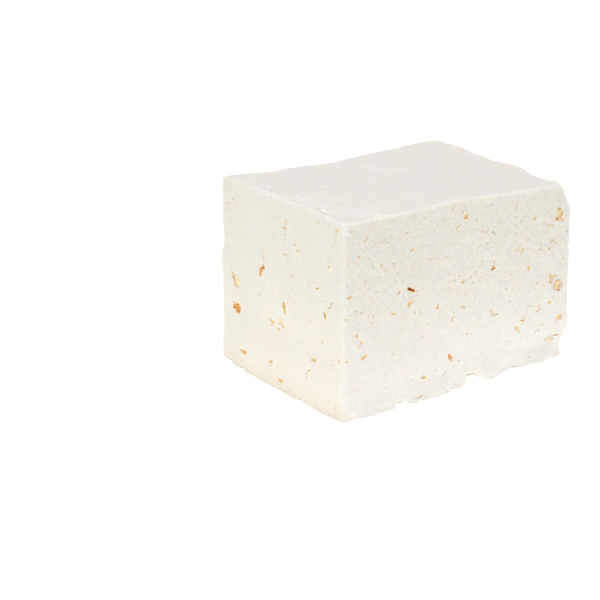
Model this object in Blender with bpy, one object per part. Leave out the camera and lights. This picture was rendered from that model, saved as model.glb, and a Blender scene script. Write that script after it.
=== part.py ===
# Block of white brined cheese, freshly cut at one end.
# In metres, +Z up. The long side runs along X and the fresh cut faces -X.
# The origin is in the plane of the foot, under the middle of the block's box.

import math
import random

import bmesh
import bpy
from mathutils import Matrix, Vector, noise

MM = 0.001

# Driving sizes, in millimetres
LENGTH = 119.0
DEPTH = 85.0
HEIGHT = 80.0
KNIFE_EDGE = 0.7
WORN_EDGE = 1.9
GRID = 4.4
SHARP_ANGLE = 60.0

HALF_LENGTH = LENGTH / 2
HALF_DEPTH = DEPTH / 2

# How far the curd stands out of true on each kind of face, and over what distance
CUT_WAVE = 0.2
TOP_WAVE = 0.35
MOULD_WAVE = 0.7
WAVE_SPACING = 8.0
WAVE_SHIFT = Vector((31.7, 17.3, 53.9))
SKIN_BAND = 0.1
FOOT_BAND = 1.0

# Colour and gloss of the curd
CURD_COLOR = (0.86, 0.83, 0.75, 1.0)
CURD_ROUGHNESS = 0.55

# Slumps, bulges and worn corners: each pulls the skin round one edge or corner,
# from start to end, fading out over its reach. All in millimetres.
PUSHES = (
    # foot of the fresh cut, spread by the block's weight
    ((-HALF_LENGTH, -30, 0), (-HALF_LENGTH, 20, 0), 26, (-3.9, 0, 0)),
    # foot of the front, spread over its left half
    ((-54, -HALF_DEPTH, 0), (-12, -HALF_DEPTH, 0), 24, (0, -2.6, 0)),
    # toe of the front, right of the broken notch
    ((15, -HALF_DEPTH, 0), (22, -HALF_DEPTH, 0), 10, (0, -2.2, 0)),
    # foot of the front, drawn in towards the right end
    ((34, -HALF_DEPTH, 0), (HALF_LENGTH, -HALF_DEPTH, 0), 13, (0, 1.3, 0)),
    # belly of the right end, and of its front edge
    ((HALF_LENGTH, -HALF_DEPTH, 14), (HALF_LENGTH, HALF_DEPTH, 14), 30, (0.9, 0, 0)),
    ((HALF_LENGTH, -HALF_DEPTH, 22), (HALF_LENGTH, -HALF_DEPTH, 62), 16, (0.7, -0.3, 0)),
    # foot of the back
    ((-40, HALF_DEPTH, 0), (30, HALF_DEPTH, 0), 22, (0, 2.1, 0)),
    # top, lower towards the right end
    ((HALF_LENGTH, -HALF_DEPTH, HEIGHT), (HALF_LENGTH, 0, HEIGHT), 60, (0, 0, -2.2)),
    # top, a little proud along the fresh cut
    ((-HALF_LENGTH, -18, HEIGHT), (-HALF_LENGTH, HALF_DEPTH, HEIGHT), 22, (0, 0, 0.8)),
    # top, hollowed along the back
    ((-14, HALF_DEPTH, HEIGHT), (0, HALF_DEPTH, HEIGHT), 42, (0, 0, -2.0)),
    # crown on the front top edge
    ((-5, -HALF_DEPTH, HEIGHT), (-5, -HALF_DEPTH, HEIGHT), 14, (0, 0, 0.5)),
    # right front top corner, worn down and drawn in
    ((HALF_LENGTH, -HALF_DEPTH, HEIGHT), (HALF_LENGTH, -HALF_DEPTH, HEIGHT), 8, (0, 0, -1.1)),
    ((HALF_LENGTH, -HALF_DEPTH, HEIGHT), (HALF_LENGTH, -HALF_DEPTH, HEIGHT), 9.5, (-2.2, 1.2, 0)),
    # right back top corner, a little proud
    ((HALF_LENGTH, HALF_DEPTH, HEIGHT), (HALF_LENGTH, HALF_DEPTH, HEIGHT), 14, (0, 0, 0.7)),
    # toes and hollows along the foot of the front
    ((-57, -HALF_DEPTH, 0), (-49, -HALF_DEPTH, 0), 6, (0, -0.9, 0)),
    ((-44, -HALF_DEPTH, 0), (-38, -HALF_DEPTH, 0), 6, (0, -1.6, 0)),
    ((-27, -HALF_DEPTH, 0), (-25, -HALF_DEPTH, 0), 5, (0, -1.8, 0)),
    ((-19, -HALF_DEPTH, 0), (-13, -HALF_DEPTH, 0), 7, (0, -2.0, 0)),
    ((23, -HALF_DEPTH, 0), (29, -HALF_DEPTH, 0), 5, (0, 1.0, 0)),
    ((37, -HALF_DEPTH, 0), (44, -HALF_DEPTH, 0), 7, (0, -2.1, 0)),
    ((50, -HALF_DEPTH, 0), (57, -HALF_DEPTH, 0), 6, (0, -1.3, 0)),
    # front edge of the right end, uneven
    ((HALF_LENGTH, -HALF_DEPTH, 25), (HALF_LENGTH, -HALF_DEPTH, 45), 16, (0.7, -0.2, 0)),
    ((HALF_LENGTH, -HALF_DEPTH, 71), (HALF_LENGTH, -HALF_DEPTH, 71), 7, (0.8, 0, 0)),
    # far edge of the fresh cut, a little proud low down
    ((-HALF_LENGTH, HALF_DEPTH, 8), (-HALF_LENGTH, HALF_DEPTH, 42), 12, (-0.6, 0, 0)),
    # swells along the back of the top
    ((-25, HALF_DEPTH, HEIGHT), (-19, HALF_DEPTH, HEIGHT), 7, (0, 0, 0.75)),
    ((9, HALF_DEPTH, HEIGHT), (20, HALF_DEPTH, HEIGHT), 9, (0, 0, 0.4)),
    ((44, HALF_DEPTH, HEIGHT), (50, HALF_DEPTH, HEIGHT), 7, (0, 0, 0.4)),
    ((57, HALF_DEPTH, HEIGHT), (HALF_LENGTH, 39, HEIGHT), 6, (0, 0, -0.8)),
    # swells and hollows along the top of the right end
    ((HALF_LENGTH, 25, HEIGHT), (HALF_LENGTH, 22, HEIGHT), 5, (0, 0, 0.7)),
    ((HALF_LENGTH, -12, HEIGHT), (HALF_LENGTH, -15, HEIGHT), 5, (0, 0, 0.5)),
    ((HALF_LENGTH, -30, HEIGHT), (HALF_LENGTH, -23, HEIGHT), 7, (0, 0, -1.3)),
)

# Each side's middle at the foot, its direction to the right, its upward direction
FACES = {
    "front": ((0, -HALF_DEPTH, 0), (1, 0, 0), (0, 0, 1)),
    "cut": ((-HALF_LENGTH, 0, 0), (0, -1, 0), (0, 0, 1)),
    "back": ((0, HALF_DEPTH, 0), (-1, 0, 0), (0, 0, 1)),
    "end": ((HALF_LENGTH, 0, 0), (0, 1, 0), (0, 0, 1)),
}

# Open eyes that show: right of the side's middle, height, width, tall, deep, turned (degrees)
FRONT_EYES = (
    (-26.8, 47.7, 4.3, 1.8, 4.0, -22), (-26.2, 42.1, 3.6, 3.4, 2.0, 0),
    (-32.4, 47.6, 1.6, 2.4, 2.0, 25), (-49.4, 24.5, 3.0, 2.2, 1.6, 0),
    (-51.4, 30.0, 3.2, 1.5, 1.4, -10), (-26.3, 64.2, 2.2, 1.8, 1.2, 0),
    (-12.0, 37.5, 2.2, 2.3, 1.4, 0), (-5.3, 14.3, 3.3, 3.3, 3.0, 45),
    (-3.8, 30.1, 1.8, 2.5, 1.2, 10), (-19.4, 8.9, 2.8, 1.7, 1.2, 0),
    (1.3, 34.7, 2.8, 1.5, 0.9, 0), (0.9, 45.5, 2.3, 1.8, 1.2, 0),
    (1.2, 73.3, 2.3, 2.3, 1.6, 0), (16.9, 48.4, 3.0, 1.9, 3.0, -15),
    (18.0, 28.1, 4.6, 1.9, 1.3, -20), (31.5, 19.0, 2.2, 2.0, 1.3, 0),
    (35.3, 21.8, 3.0, 1.3, 1.0, 0), (37.3, 44.5, 2.4, 2.3, 1.6, 0),
    (39.2, 65.8, 2.4, 1.8, 1.2, 0), (48.1, 61.0, 3.4, 1.4, 1.0, 0),
    (53.1, 65.4, 4.7, 6.2, 3.0, 5), (50.0, 37.6, 1.8, 4.4, 1.6, 8),
    (54.9, 32.9, 3.6, 3.7, 1.7, 0), (55.6, 18.7, 3.4, 2.4, 1.6, 0),
    (52.4, 9.9, 5.4, 4.2, 1.3, 0),
)
CUT_EYES = (
    (-33.1, 25.3, 7.0, 4.5, 4.0, 10), (-14.0, 47.0, 5.9, 4.3, 4.0, -15),
    (-32.0, 37.3, 4.4, 5.2, 1.2, 0), (2.4, 35.9, 2.6, 5.2, 3.0, 0),
    (-6.0, 26.5, 5.0, 3.4, 1.2, 20), (1.0, 29.0, 4.6, 3.4, 1.2, -20),
    (3.3, 70.6, 4.2, 5.0, 1.2, 0), (-27.4, 7.1, 6.2, 2.4, 2.0, 0),
    (-6.4, 8.9, 3.7, 2.7, 1.5, 0), (24.5, 19.7, 4.0, 1.8, 1.3, 0),
    (19.1, 11.5, 2.2, 3.9, 1.1, 0), (30.3, 40.1, 2.1, 2.6, 2.0, 0),
    (34.2, 45.4, 1.9, 2.9, 1.2, 15), (25.0, 49.8, 2.6, 1.4, 1.0, 0),
    (-11.7, 53.6, 1.6, 2.8, 1.5, 0), (0.5, 3.4, 3.6, 1.5, 1.4, 0),
)
# Eyes on the sides out of sight, drawn at random: how many on each side, their least and
# greatest width, their height and depth as shares of the width, and their turn in degrees
SEEDED_EYES = {"back": 19, "end": 12}
EYE_SEED = 41
EYE_WIDTH = (1.6, 5.0)
EYE_TALL = (0.6, 1.1)
EYE_DEEP = (0.35, 0.8)
EYE_TURN = 40.0
EYE_MARGIN = 6.0
EYE_GAP = 1.2
# How uneven the lumps are that open the eyes, and from what width they have fine facets
EYE_UNEVEN = 0.2
FINE_EYE = 3.1

# Broken places along the foot and corners: middle, half sizes along X, Y and Z, and lean
# in degrees round Y
CHIPS = (
    ((-33.6, -45.0, 0.2), (2.2, 3.6, 2.5), 4),
    ((-30.0, -45.2, -0.2), (2.6, 3.2, 2.1), 10),
    ((5.8, -41.0, 0.2), (3.2, 9.6, 4.5), 6),
    ((10.4, -43.2, -0.2), (3.8, 6.6, 2.9), 18),
    ((30.6, -43.4, -0.3), (2.0, 2.0, 1.9), -14),
    ((61.8, -43.8, 6.0), (3.6, 5.2, 4.6), -8),
    ((61.2, -20.0, 1.0), (2.6, 3.6, 3.2), 0),
    ((-8.0, 45.2, -0.4), (3.4, 3.0, 2.8), 0),
    ((40.0, 43.6, 0.2), (2.6, 2.8, 3.2), 0),
    ((60.6, -42.8, 49.5), (1.9, 2.4, 0.8), 0),
)
# How uneven the lumps are that break these out, and how far they are from round to boxed
CHIP_UNEVEN = 0.08
CHIP_CORNERS = 0.6
LUMP_SEED = 41
# Facets narrower than this are closed up
SLIVER = 0.05


def clear_scene():
    """Start from an empty scene."""
    for item in list(bpy.data.objects):
        bpy.data.objects.remove(item, do_unlink=True)


def distance_to_line(point, start, end):
    """Distance from a point to the straight stretch from start to end."""
    along = end - start
    if along.length < SKIN_BAND:
        return (point - start).length
    share = (point - start).dot(along) / along.length_squared
    return (point - (start + along * min(max(share, 0.0), 1.0))).length


def pushed(point):
    """Where a point of the true box lies once the block has slumped and worn."""
    place = point.copy()
    for start, end, reach, move in PUSHES:
        share = 1.0 - distance_to_line(point, Vector(start), Vector(end)) / reach
        if share > 0.0:
            place += Vector(move) * (share * share * (3.0 - 2.0 * share))
    return place


def wave_height(point):
    """How far the curd may stand out of true at this place on the box."""
    waves = [MOULD_WAVE]
    if point.x < -HALF_LENGTH + SKIN_BAND:
        waves.append(CUT_WAVE)
    if point.z > HEIGHT - SKIN_BAND:
        waves.append(TOP_WAVE)
    return min(waves)


def shaped(point):
    """A point of the true box, moved to the real, uneven skin."""
    place = pushed(point)
    for axis in range(3):
        spot = point / WAVE_SPACING + WAVE_SHIFT * axis
        place[axis] += wave_height(point) * noise.noise(spot)
    if point.z < FOOT_BAND:
        place.z = point.z
    return place


def bevel_box_edges(block):
    """Round the box: worn edges round the right end, knife edges elsewhere."""
    def at_right_end(edge):
        return all(vert.co.x > 0 for vert in edge.verts)

    def on_foot(edge):
        return all(vert.co.z < HEIGHT / 2 for vert in edge.verts)

    worn = [edge for edge in block.edges if at_right_end(edge) and not on_foot(edge)]
    bmesh.ops.bevel(block, geom=worn, offset=WORN_EDGE, segments=2, profile=0.5, affect="EDGES")
    crisp = [edge for edge in block.edges if edge.calc_face_angle(0.0) > math.radians(SHARP_ANGLE)]
    bmesh.ops.bevel(block, geom=crisp, offset=KNIFE_EDGE, segments=1, affect="EDGES")


def slice_box(block):
    """Cut a grid over the box's skin."""
    spans = ((0, -HALF_LENGTH, LENGTH), (1, -HALF_DEPTH, DEPTH), (2, 0.0, HEIGHT))
    for axis, low, size in spans:
        count = round(size / GRID)
        normal = Vector()
        normal[axis] = 1.0
        for step in range(1, count):
            place = normal * (low + size * step / count)
            geometry = block.verts[:] + block.edges[:] + block.faces[:]
            bmesh.ops.bisect_plane(block, geom=geometry, plane_co=place, plane_no=normal)


def flatten_foot(block):
    """Make the underside one flat face."""
    under = [face for face in block.faces if all(vert.co.z < SKIN_BAND for vert in face.verts)]
    bmesh.ops.dissolve_faces(block, faces=under)


def make_block():
    """The block of curd, out of true but without its eyes."""
    block = bmesh.new()
    middle = Matrix.Translation((0, 0, HEIGHT / 2))
    bmesh.ops.create_cube(block, size=1.0, matrix=middle @ Matrix.Diagonal((LENGTH, DEPTH, HEIGHT, 1)))
    bevel_box_edges(block)
    slice_box(block)
    for vert in block.verts:
        vert.co = shaped(vert.co)
    flatten_foot(block)
    return block


def add_lump(cutter, rng, frame, half_sizes, uneven, fine, corners=0.0):
    """Add one uneven closed lump to the cutter: round, or nearer to a box with more corners."""
    made = bmesh.ops.create_icosphere(cutter, subdivisions=2 if fine else 1, radius=1.0)
    for vert in made["verts"]:
        boxed = vert.co / max(abs(part) for part in vert.co)
        place = vert.co.lerp(boxed, corners) * (1.0 + uneven * rng.uniform(-1.0, 1.0))
        vert.co = frame @ Vector(place[axis] * half_sizes[axis] for axis in range(3))


def side_frame(side, right, up, turn):
    """Axes at a place on a side: to the right, upward and out of the cheese."""
    middle, across, upward = (Vector(item) for item in FACES[side])
    skin = pushed(middle + across * right + upward * up)
    axes = Matrix((across, upward, across.cross(upward))).transposed().to_4x4()
    return Matrix.Translation(skin) @ axes @ Matrix.Rotation(math.radians(turn), 4, "Z")


def add_eye(cutter, rng, side, eye):
    """Add one open eye, its mouth on the skin."""
    right, up, width, tall, deep, turn = eye
    half_sizes = (width / 2, tall / 2, deep)
    fine = max(width, tall) > FINE_EYE
    add_lump(cutter, rng, side_frame(side, right, up, turn), half_sizes, EYE_UNEVEN, fine)


def random_eye(rng, side):
    """Draw one eye for a side out of sight."""
    span = HALF_DEPTH if side == "end" else HALF_LENGTH
    right = rng.uniform(EYE_MARGIN - span, span - EYE_MARGIN)
    up = rng.uniform(EYE_MARGIN, HEIGHT - EYE_MARGIN)
    least, greatest = EYE_WIDTH
    width = least + (greatest - least) * rng.random() ** 2
    tall = width * rng.uniform(*EYE_TALL)
    deep = width * rng.uniform(*EYE_DEEP)
    return (right, up, width, tall, deep, rng.uniform(-EYE_TURN, EYE_TURN))


def clear_of(eye, others):
    """Whether an eye keeps clear of those already on its side."""
    for other in others:
        apart = math.hypot(eye[0] - other[0], eye[1] - other[1])
        if apart < (max(eye[2:4]) + max(other[2:4])) / 2 + EYE_GAP:
            return False
    return True


def seeded_eyes(rng, side, count):
    """Eyes spread over a side, none touching."""
    eyes = []
    while len(eyes) < count:
        eye = random_eye(rng, side)
        if clear_of(eye, eyes):
            eyes.append(eye)
    return eyes


def make_cutter():
    """All eyes and chips as one wire object."""
    eye_rng = random.Random(EYE_SEED)
    eyes = {"front": FRONT_EYES, "cut": CUT_EYES}
    for side, count in SEEDED_EYES.items():
        eyes[side] = seeded_eyes(eye_rng, side, count)
    rng = random.Random(LUMP_SEED)
    cutter = bmesh.new()
    for side, side_eyes in eyes.items():
        for eye in side_eyes:
            add_eye(cutter, rng, side, eye)
    for middle, half_sizes, lean in CHIPS:
        place = Matrix.Translation(middle) @ Matrix.Rotation(math.radians(lean), 4, "Y")
        add_lump(cutter, rng, place, half_sizes, CHIP_UNEVEN, True, CHIP_CORNERS)
    item = make_object("eye_cutter", cutter)
    item.hide_render = True
    item.display_type = "WIRE"
    return item


def make_object(name, shape):
    """Put a shape in the scene, turned from millimetres to metres."""
    bmesh.ops.scale(shape, vec=(MM, MM, MM), verts=shape.verts)
    bmesh.ops.recalc_face_normals(shape, faces=shape.faces)
    mesh = bpy.data.meshes.new(name)
    shape.to_mesh(mesh)
    shape.free()
    item = bpy.data.objects.new(name, mesh)
    bpy.context.scene.collection.objects.link(item)
    return item


def cut_eyes(block, cutter):
    """Open the eyes and chips in the block."""
    cut = block.modifiers.new("eyes", "BOOLEAN")
    cut.operation = "DIFFERENCE"
    cut.solver = "EXACT"
    cut.use_self = True
    cut.object = cutter
    bpy.context.view_layer.update()
    opened = block.evaluated_get(bpy.context.evaluated_depsgraph_get())
    mesh = bpy.data.meshes.new_from_object(opened)
    block.modifiers.clear()
    block.data = mesh
    bpy.data.objects.remove(cutter, do_unlink=True)


def weld_slivers(block):
    """Close up the hair-thin facets where an eye's rim crosses the grid."""
    shape = bmesh.new()
    shape.from_mesh(block.data)
    bmesh.ops.triangulate(shape, faces=shape.faces)
    bmesh.ops.remove_doubles(shape, verts=shape.verts, dist=SLIVER * MM)
    bmesh.ops.dissolve_degenerate(shape, dist=SLIVER * MM, edges=shape.edges)
    bmesh.ops.triangulate(shape, faces=shape.faces)
    shape.to_mesh(block.data)
    shape.free()


def centre_on_foot(block):
    """Bring the box's bottom middle to the origin."""
    corners = [vert.co for vert in block.data.vertices]
    low = Vector(min(co[axis] for co in corners) for axis in range(3))
    high = Vector(max(co[axis] for co in corners) for axis in range(3))
    block.data.transform(Matrix.Translation((-(low.x + high.x) / 2, -(low.y + high.y) / 2, -low.z)))


def curd_material():
    """White, faintly moist curd."""
    material = bpy.data.materials.new("curd")
    material.use_nodes = True
    shader = material.node_tree.nodes["Principled BSDF"]
    shader.inputs["Base Color"].default_value = CURD_COLOR
    shader.inputs["Roughness"].default_value = CURD_ROUGHNESS
    shader.inputs["Metallic"].default_value = 0.0
    return material


def main():
    clear_scene()
    block = make_object("feta_block", make_block())
    cut_eyes(block, make_cutter())
    weld_slivers(block)
    centre_on_foot(block)
    block.data.name = "feta_block"
    block.data.materials.clear()
    block.data.materials.append(curd_material())


main()
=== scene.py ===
# A cut block of white brined cheese, its loose crumbs and a plain pale studio.
import math
import random

import bmesh
import bpy
import numpy as np
from mathutils import Matrix, Vector
from mathutils.bvhtree import BVHTree


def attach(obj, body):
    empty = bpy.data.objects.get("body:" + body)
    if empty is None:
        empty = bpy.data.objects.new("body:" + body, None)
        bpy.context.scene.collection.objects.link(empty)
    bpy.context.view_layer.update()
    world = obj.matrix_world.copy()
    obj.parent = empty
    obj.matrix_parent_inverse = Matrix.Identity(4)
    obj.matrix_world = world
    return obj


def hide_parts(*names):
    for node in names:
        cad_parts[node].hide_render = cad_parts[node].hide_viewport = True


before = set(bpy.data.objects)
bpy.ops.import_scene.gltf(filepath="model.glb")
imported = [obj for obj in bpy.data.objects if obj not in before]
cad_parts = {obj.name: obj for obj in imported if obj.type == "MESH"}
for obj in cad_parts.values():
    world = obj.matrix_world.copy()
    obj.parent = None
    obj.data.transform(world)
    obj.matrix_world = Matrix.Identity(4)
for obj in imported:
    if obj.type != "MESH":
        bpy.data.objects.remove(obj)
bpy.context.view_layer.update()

bl_info = {
    "name": "Brined cheese block",
    "version": (1, 0, 0),
    "blender": (4, 5, 0),
    "location": "3D View > Sidebar > Cheese",
    "description": "Adds a cut block of white brined cheese, its crumbs and a plain studio",
    "category": "Add Mesh",
}

MM = 0.001
NODE = "feta_block"
BODY = "root"

# The true box, in millimetres, before it slumped: the middle of its foot and its sizes
TRUE_MIDDLE = (1.055, 1.178)
HALF_LENGTH = 59.5
HALF_DEPTH = 42.5
HEIGHT = 80.0

# Metres beyond the block's reach, and the length under which a line is a point
FAR = 1.0
POINT_LIKE = 0.1 * MM
# Edges of the box with a sharper turn than this get the knife's rounding
CRISP_TURN = math.radians(60)

# Edges of the true box, and a line low on its end: the coordinate along each is left open
EDGES = {
    "front foot": (None, -HALF_DEPTH, 0), "back foot": (None, HALF_DEPTH, 0),
    "cut foot": (-HALF_LENGTH, None, 0), "low end": (HALF_LENGTH, None, 14),
    "front top": (None, -HALF_DEPTH, HEIGHT), "back top": (None, HALF_DEPTH, HEIGHT),
    "cut top": (-HALF_LENGTH, None, HEIGHT), "end top": (HALF_LENGTH, None, HEIGHT),
    "near end": (HALF_LENGTH, -HALF_DEPTH, None), "far cut": (-HALF_LENGTH, HALF_DEPTH, None),
}
# Slumps, bulges and worn corners, in millimetres: the edge whose skin is pulled, from
# where to where along it, the reach over which the pull fades out, and the pull. A pair of
# edges is a line across the corner between them.
PUSHES = (
    ("cut foot", -30, 20, 26, (-3.9, 0, 0)),
    ("front foot", -54, -12, 24, (0, -2.6, 0)),
    ("front foot", 15, 22, 10, (0, -2.2, 0)),
    ("front foot", 34, HALF_LENGTH, 13, (0, 1.3, 0)),
    ("low end", -HALF_DEPTH, HALF_DEPTH, 30, (0.9, 0, 0)),
    ("near end", 22, 62, 16, (0.95, -0.3, 0)),
    ("back foot", -40, 30, 22, (0, 2.1, 0)),
    ("end top", -HALF_DEPTH, 0, 60, (0, 0, -2.2)),
    ("cut top", -18, HALF_DEPTH, 22, (0, 0, 0.8)),
    ("back top", -14, 0, 42, (0, 0, -1.8)),
    ("front top", -5, -5, 14, (0, 0, 0.5)),
    ("near end", HEIGHT, HEIGHT, 8, (0, 0, -1.1)),
    ("near end", HEIGHT, HEIGHT, 9.5, (-2.2, 1.2, 0)),
    ("end top", HALF_DEPTH, HALF_DEPTH, 14, (0, 0, 0.7)),
    # toes and hollows along the foot of the front
    ("front foot", -57, -49, 6, (0, -0.9, 0)),
    ("front foot", -44, -38, 6, (0, -1.6, 0)),
    ("front foot", -27.2, -25.6, 4, (0, -1.8, 0)),
    ("front foot", -19, -13, 7, (0, -2.0, 0)),
    ("front foot", -9, -6, 5, (0, -0.5, 0)),
    ("front foot", 1, 2.4, 4, (0, -1.3, 0)),
    ("front foot", 15.4, 16.6, 4, (0, -1.2, 0)),
    ("front foot", 23, 29, 5, (0, 1.0, 0)),
    ("front foot", 37, 44, 7, (0, -2.1, 0)),
    ("front foot", 50, 57, 6, (0, -1.3, 0)),
    # the right end's near edge and the cut's far edge
    ("near end", 25, 45, 16, (0.7, -0.2, 0)),
    ("near end", 71, 71, 7, (0.8, 0, 0)),
    ("near end", 11, 13.5, 6, (1.5, 0, 0)),
    ("far cut", 8, 42, 12, (-0.6, 0, 0)),
    ("far cut", 10, 74, 14, (-0.35, 0, 0)),
    ("far cut", 45, 46, 4, (-0.6, 0, 0)),
    ("far cut", 51, 52, 4, (0.5, 0, 0)),
    # the top edge along the back and the right end
    ("back top", -25, -19, 7, (0, 0, 0.75)),
    ("back top", 9, 20, 9, (0, 0, 0.4)),
    ("back top", 44, 50, 7, (0, 0, 0.4)),
    (("back top", "end top"), 57, 39, 6, (0, 0, -0.8)),
    ("end top", 25, 22, 4, (0, 0, 0.7)),
    ("end top", 18, 18, 3, (0, 0, -0.4)),
    ("end top", 13.5, 13.5, 5, (0, 0, 0.4)),
    ("end top", -12, -15, 5, (0, 0, 0.5)),
    ("end top", -8, -4, 6, (0, 0, 0.4)),
    ("end top", -30, -23, 7, (0, 0, -1.3)),
    ("end top", -37, -37, 4, (0, 0, 1.0)),
)
# A pull takes hold of the points this near its edge, as a share of the worn edge's rounding
PUSH_GRIP = 1.6

# Broken places along the foot and corners, in millimetres on the true box: middle, half
# sizes, and lean in degrees round the line that runs out of the front
CHIPS = (
    ((-33.6, -45.0, 0.2), (2.2, 3.6, 2.5), 4),
    ((-30.0, -45.2, -0.2), (2.7, 3.2, 2.1), 10),
    ((-22.9, -46.2, 0.0), (1.3, 2.2, 1.4), -20),
    ((5.6, -41.0, 0.4), (3.6, 9.6, 4.4), 6),
    ((10.6, -43.2, -0.4), (3.8, 6.6, 2.3), 16),
    ((30.6, -43.4, -0.2), (2.0, 2.0, 1.9), -14),
    ((62.1, -43.8, 5.0), (3.6, 5.2, 4.1), -4),
    ((61.2, -20.0, 1.0), (2.6, 3.6, 3.2), 20),
    ((-8.0, 45.2, -0.4), (3.4, 3.0, 2.8), -10),
    ((40.0, 43.6, 0.2), (2.6, 2.8, 3.2), 14),
    ((60.6, -43.0, 49.4), (1.5, 2.0, 0.6), 0),
)
# Small pieces broken out along the foot, drawn at random in millimetres: how many on each
# side, least size and how much more, least and greatest width, height and depth as shares of
# the size, height over the floor, turn in degrees, and how far they keep from the corners
CRUMBLED = {"front": 26, "cut": 8, "back": 26, "end": 18}
CRUMBLE_SIZE = (0.5, 1.1)
CRUMBLE_SHAPE = ((0.8, 1.7), (0.6, 1.2), (0.9, 1.6))
CRUMBLE_UP = (0.3, 0.8)
CRUMBLE_TURN = (-25, 25)
CRUMBLE_MARGIN = 1.0
CHIP_SEED = 7
# The rough cornered lumps that break them out: how many, their first seed, how wide their
# corners are cut off and how uneven they are, for a lump of half size 1
SHARDS = 5
SHARD_SEED = 3
SHARD_CORNER = 0.3
SHARD_UNEVEN = 0.16
# How far chips and lumps reach round their middle, as shares of their largest half size
CHIP_REACH = 1.6
LUMP_REACH = 1.3

# Each side of the true box: middle of its foot, direction to the right, upward direction
SIDES = {
    "front": ((0, -HALF_DEPTH, 0), (1, 0, 0), (0, 0, 1)),
    "cut": ((-HALF_LENGTH, 0, 0), (0, -1, 0), (0, 0, 1)),
    "back": ((0, HALF_DEPTH, 0), (-1, 0, 0), (0, 0, 1)),
    "end": ((HALF_LENGTH, 0, 0), (0, 1, 0), (0, 0, 1)),
    "top": ((0, 0, HEIGHT), (1, 0, 0), (0, 1, 0)),
}

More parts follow.
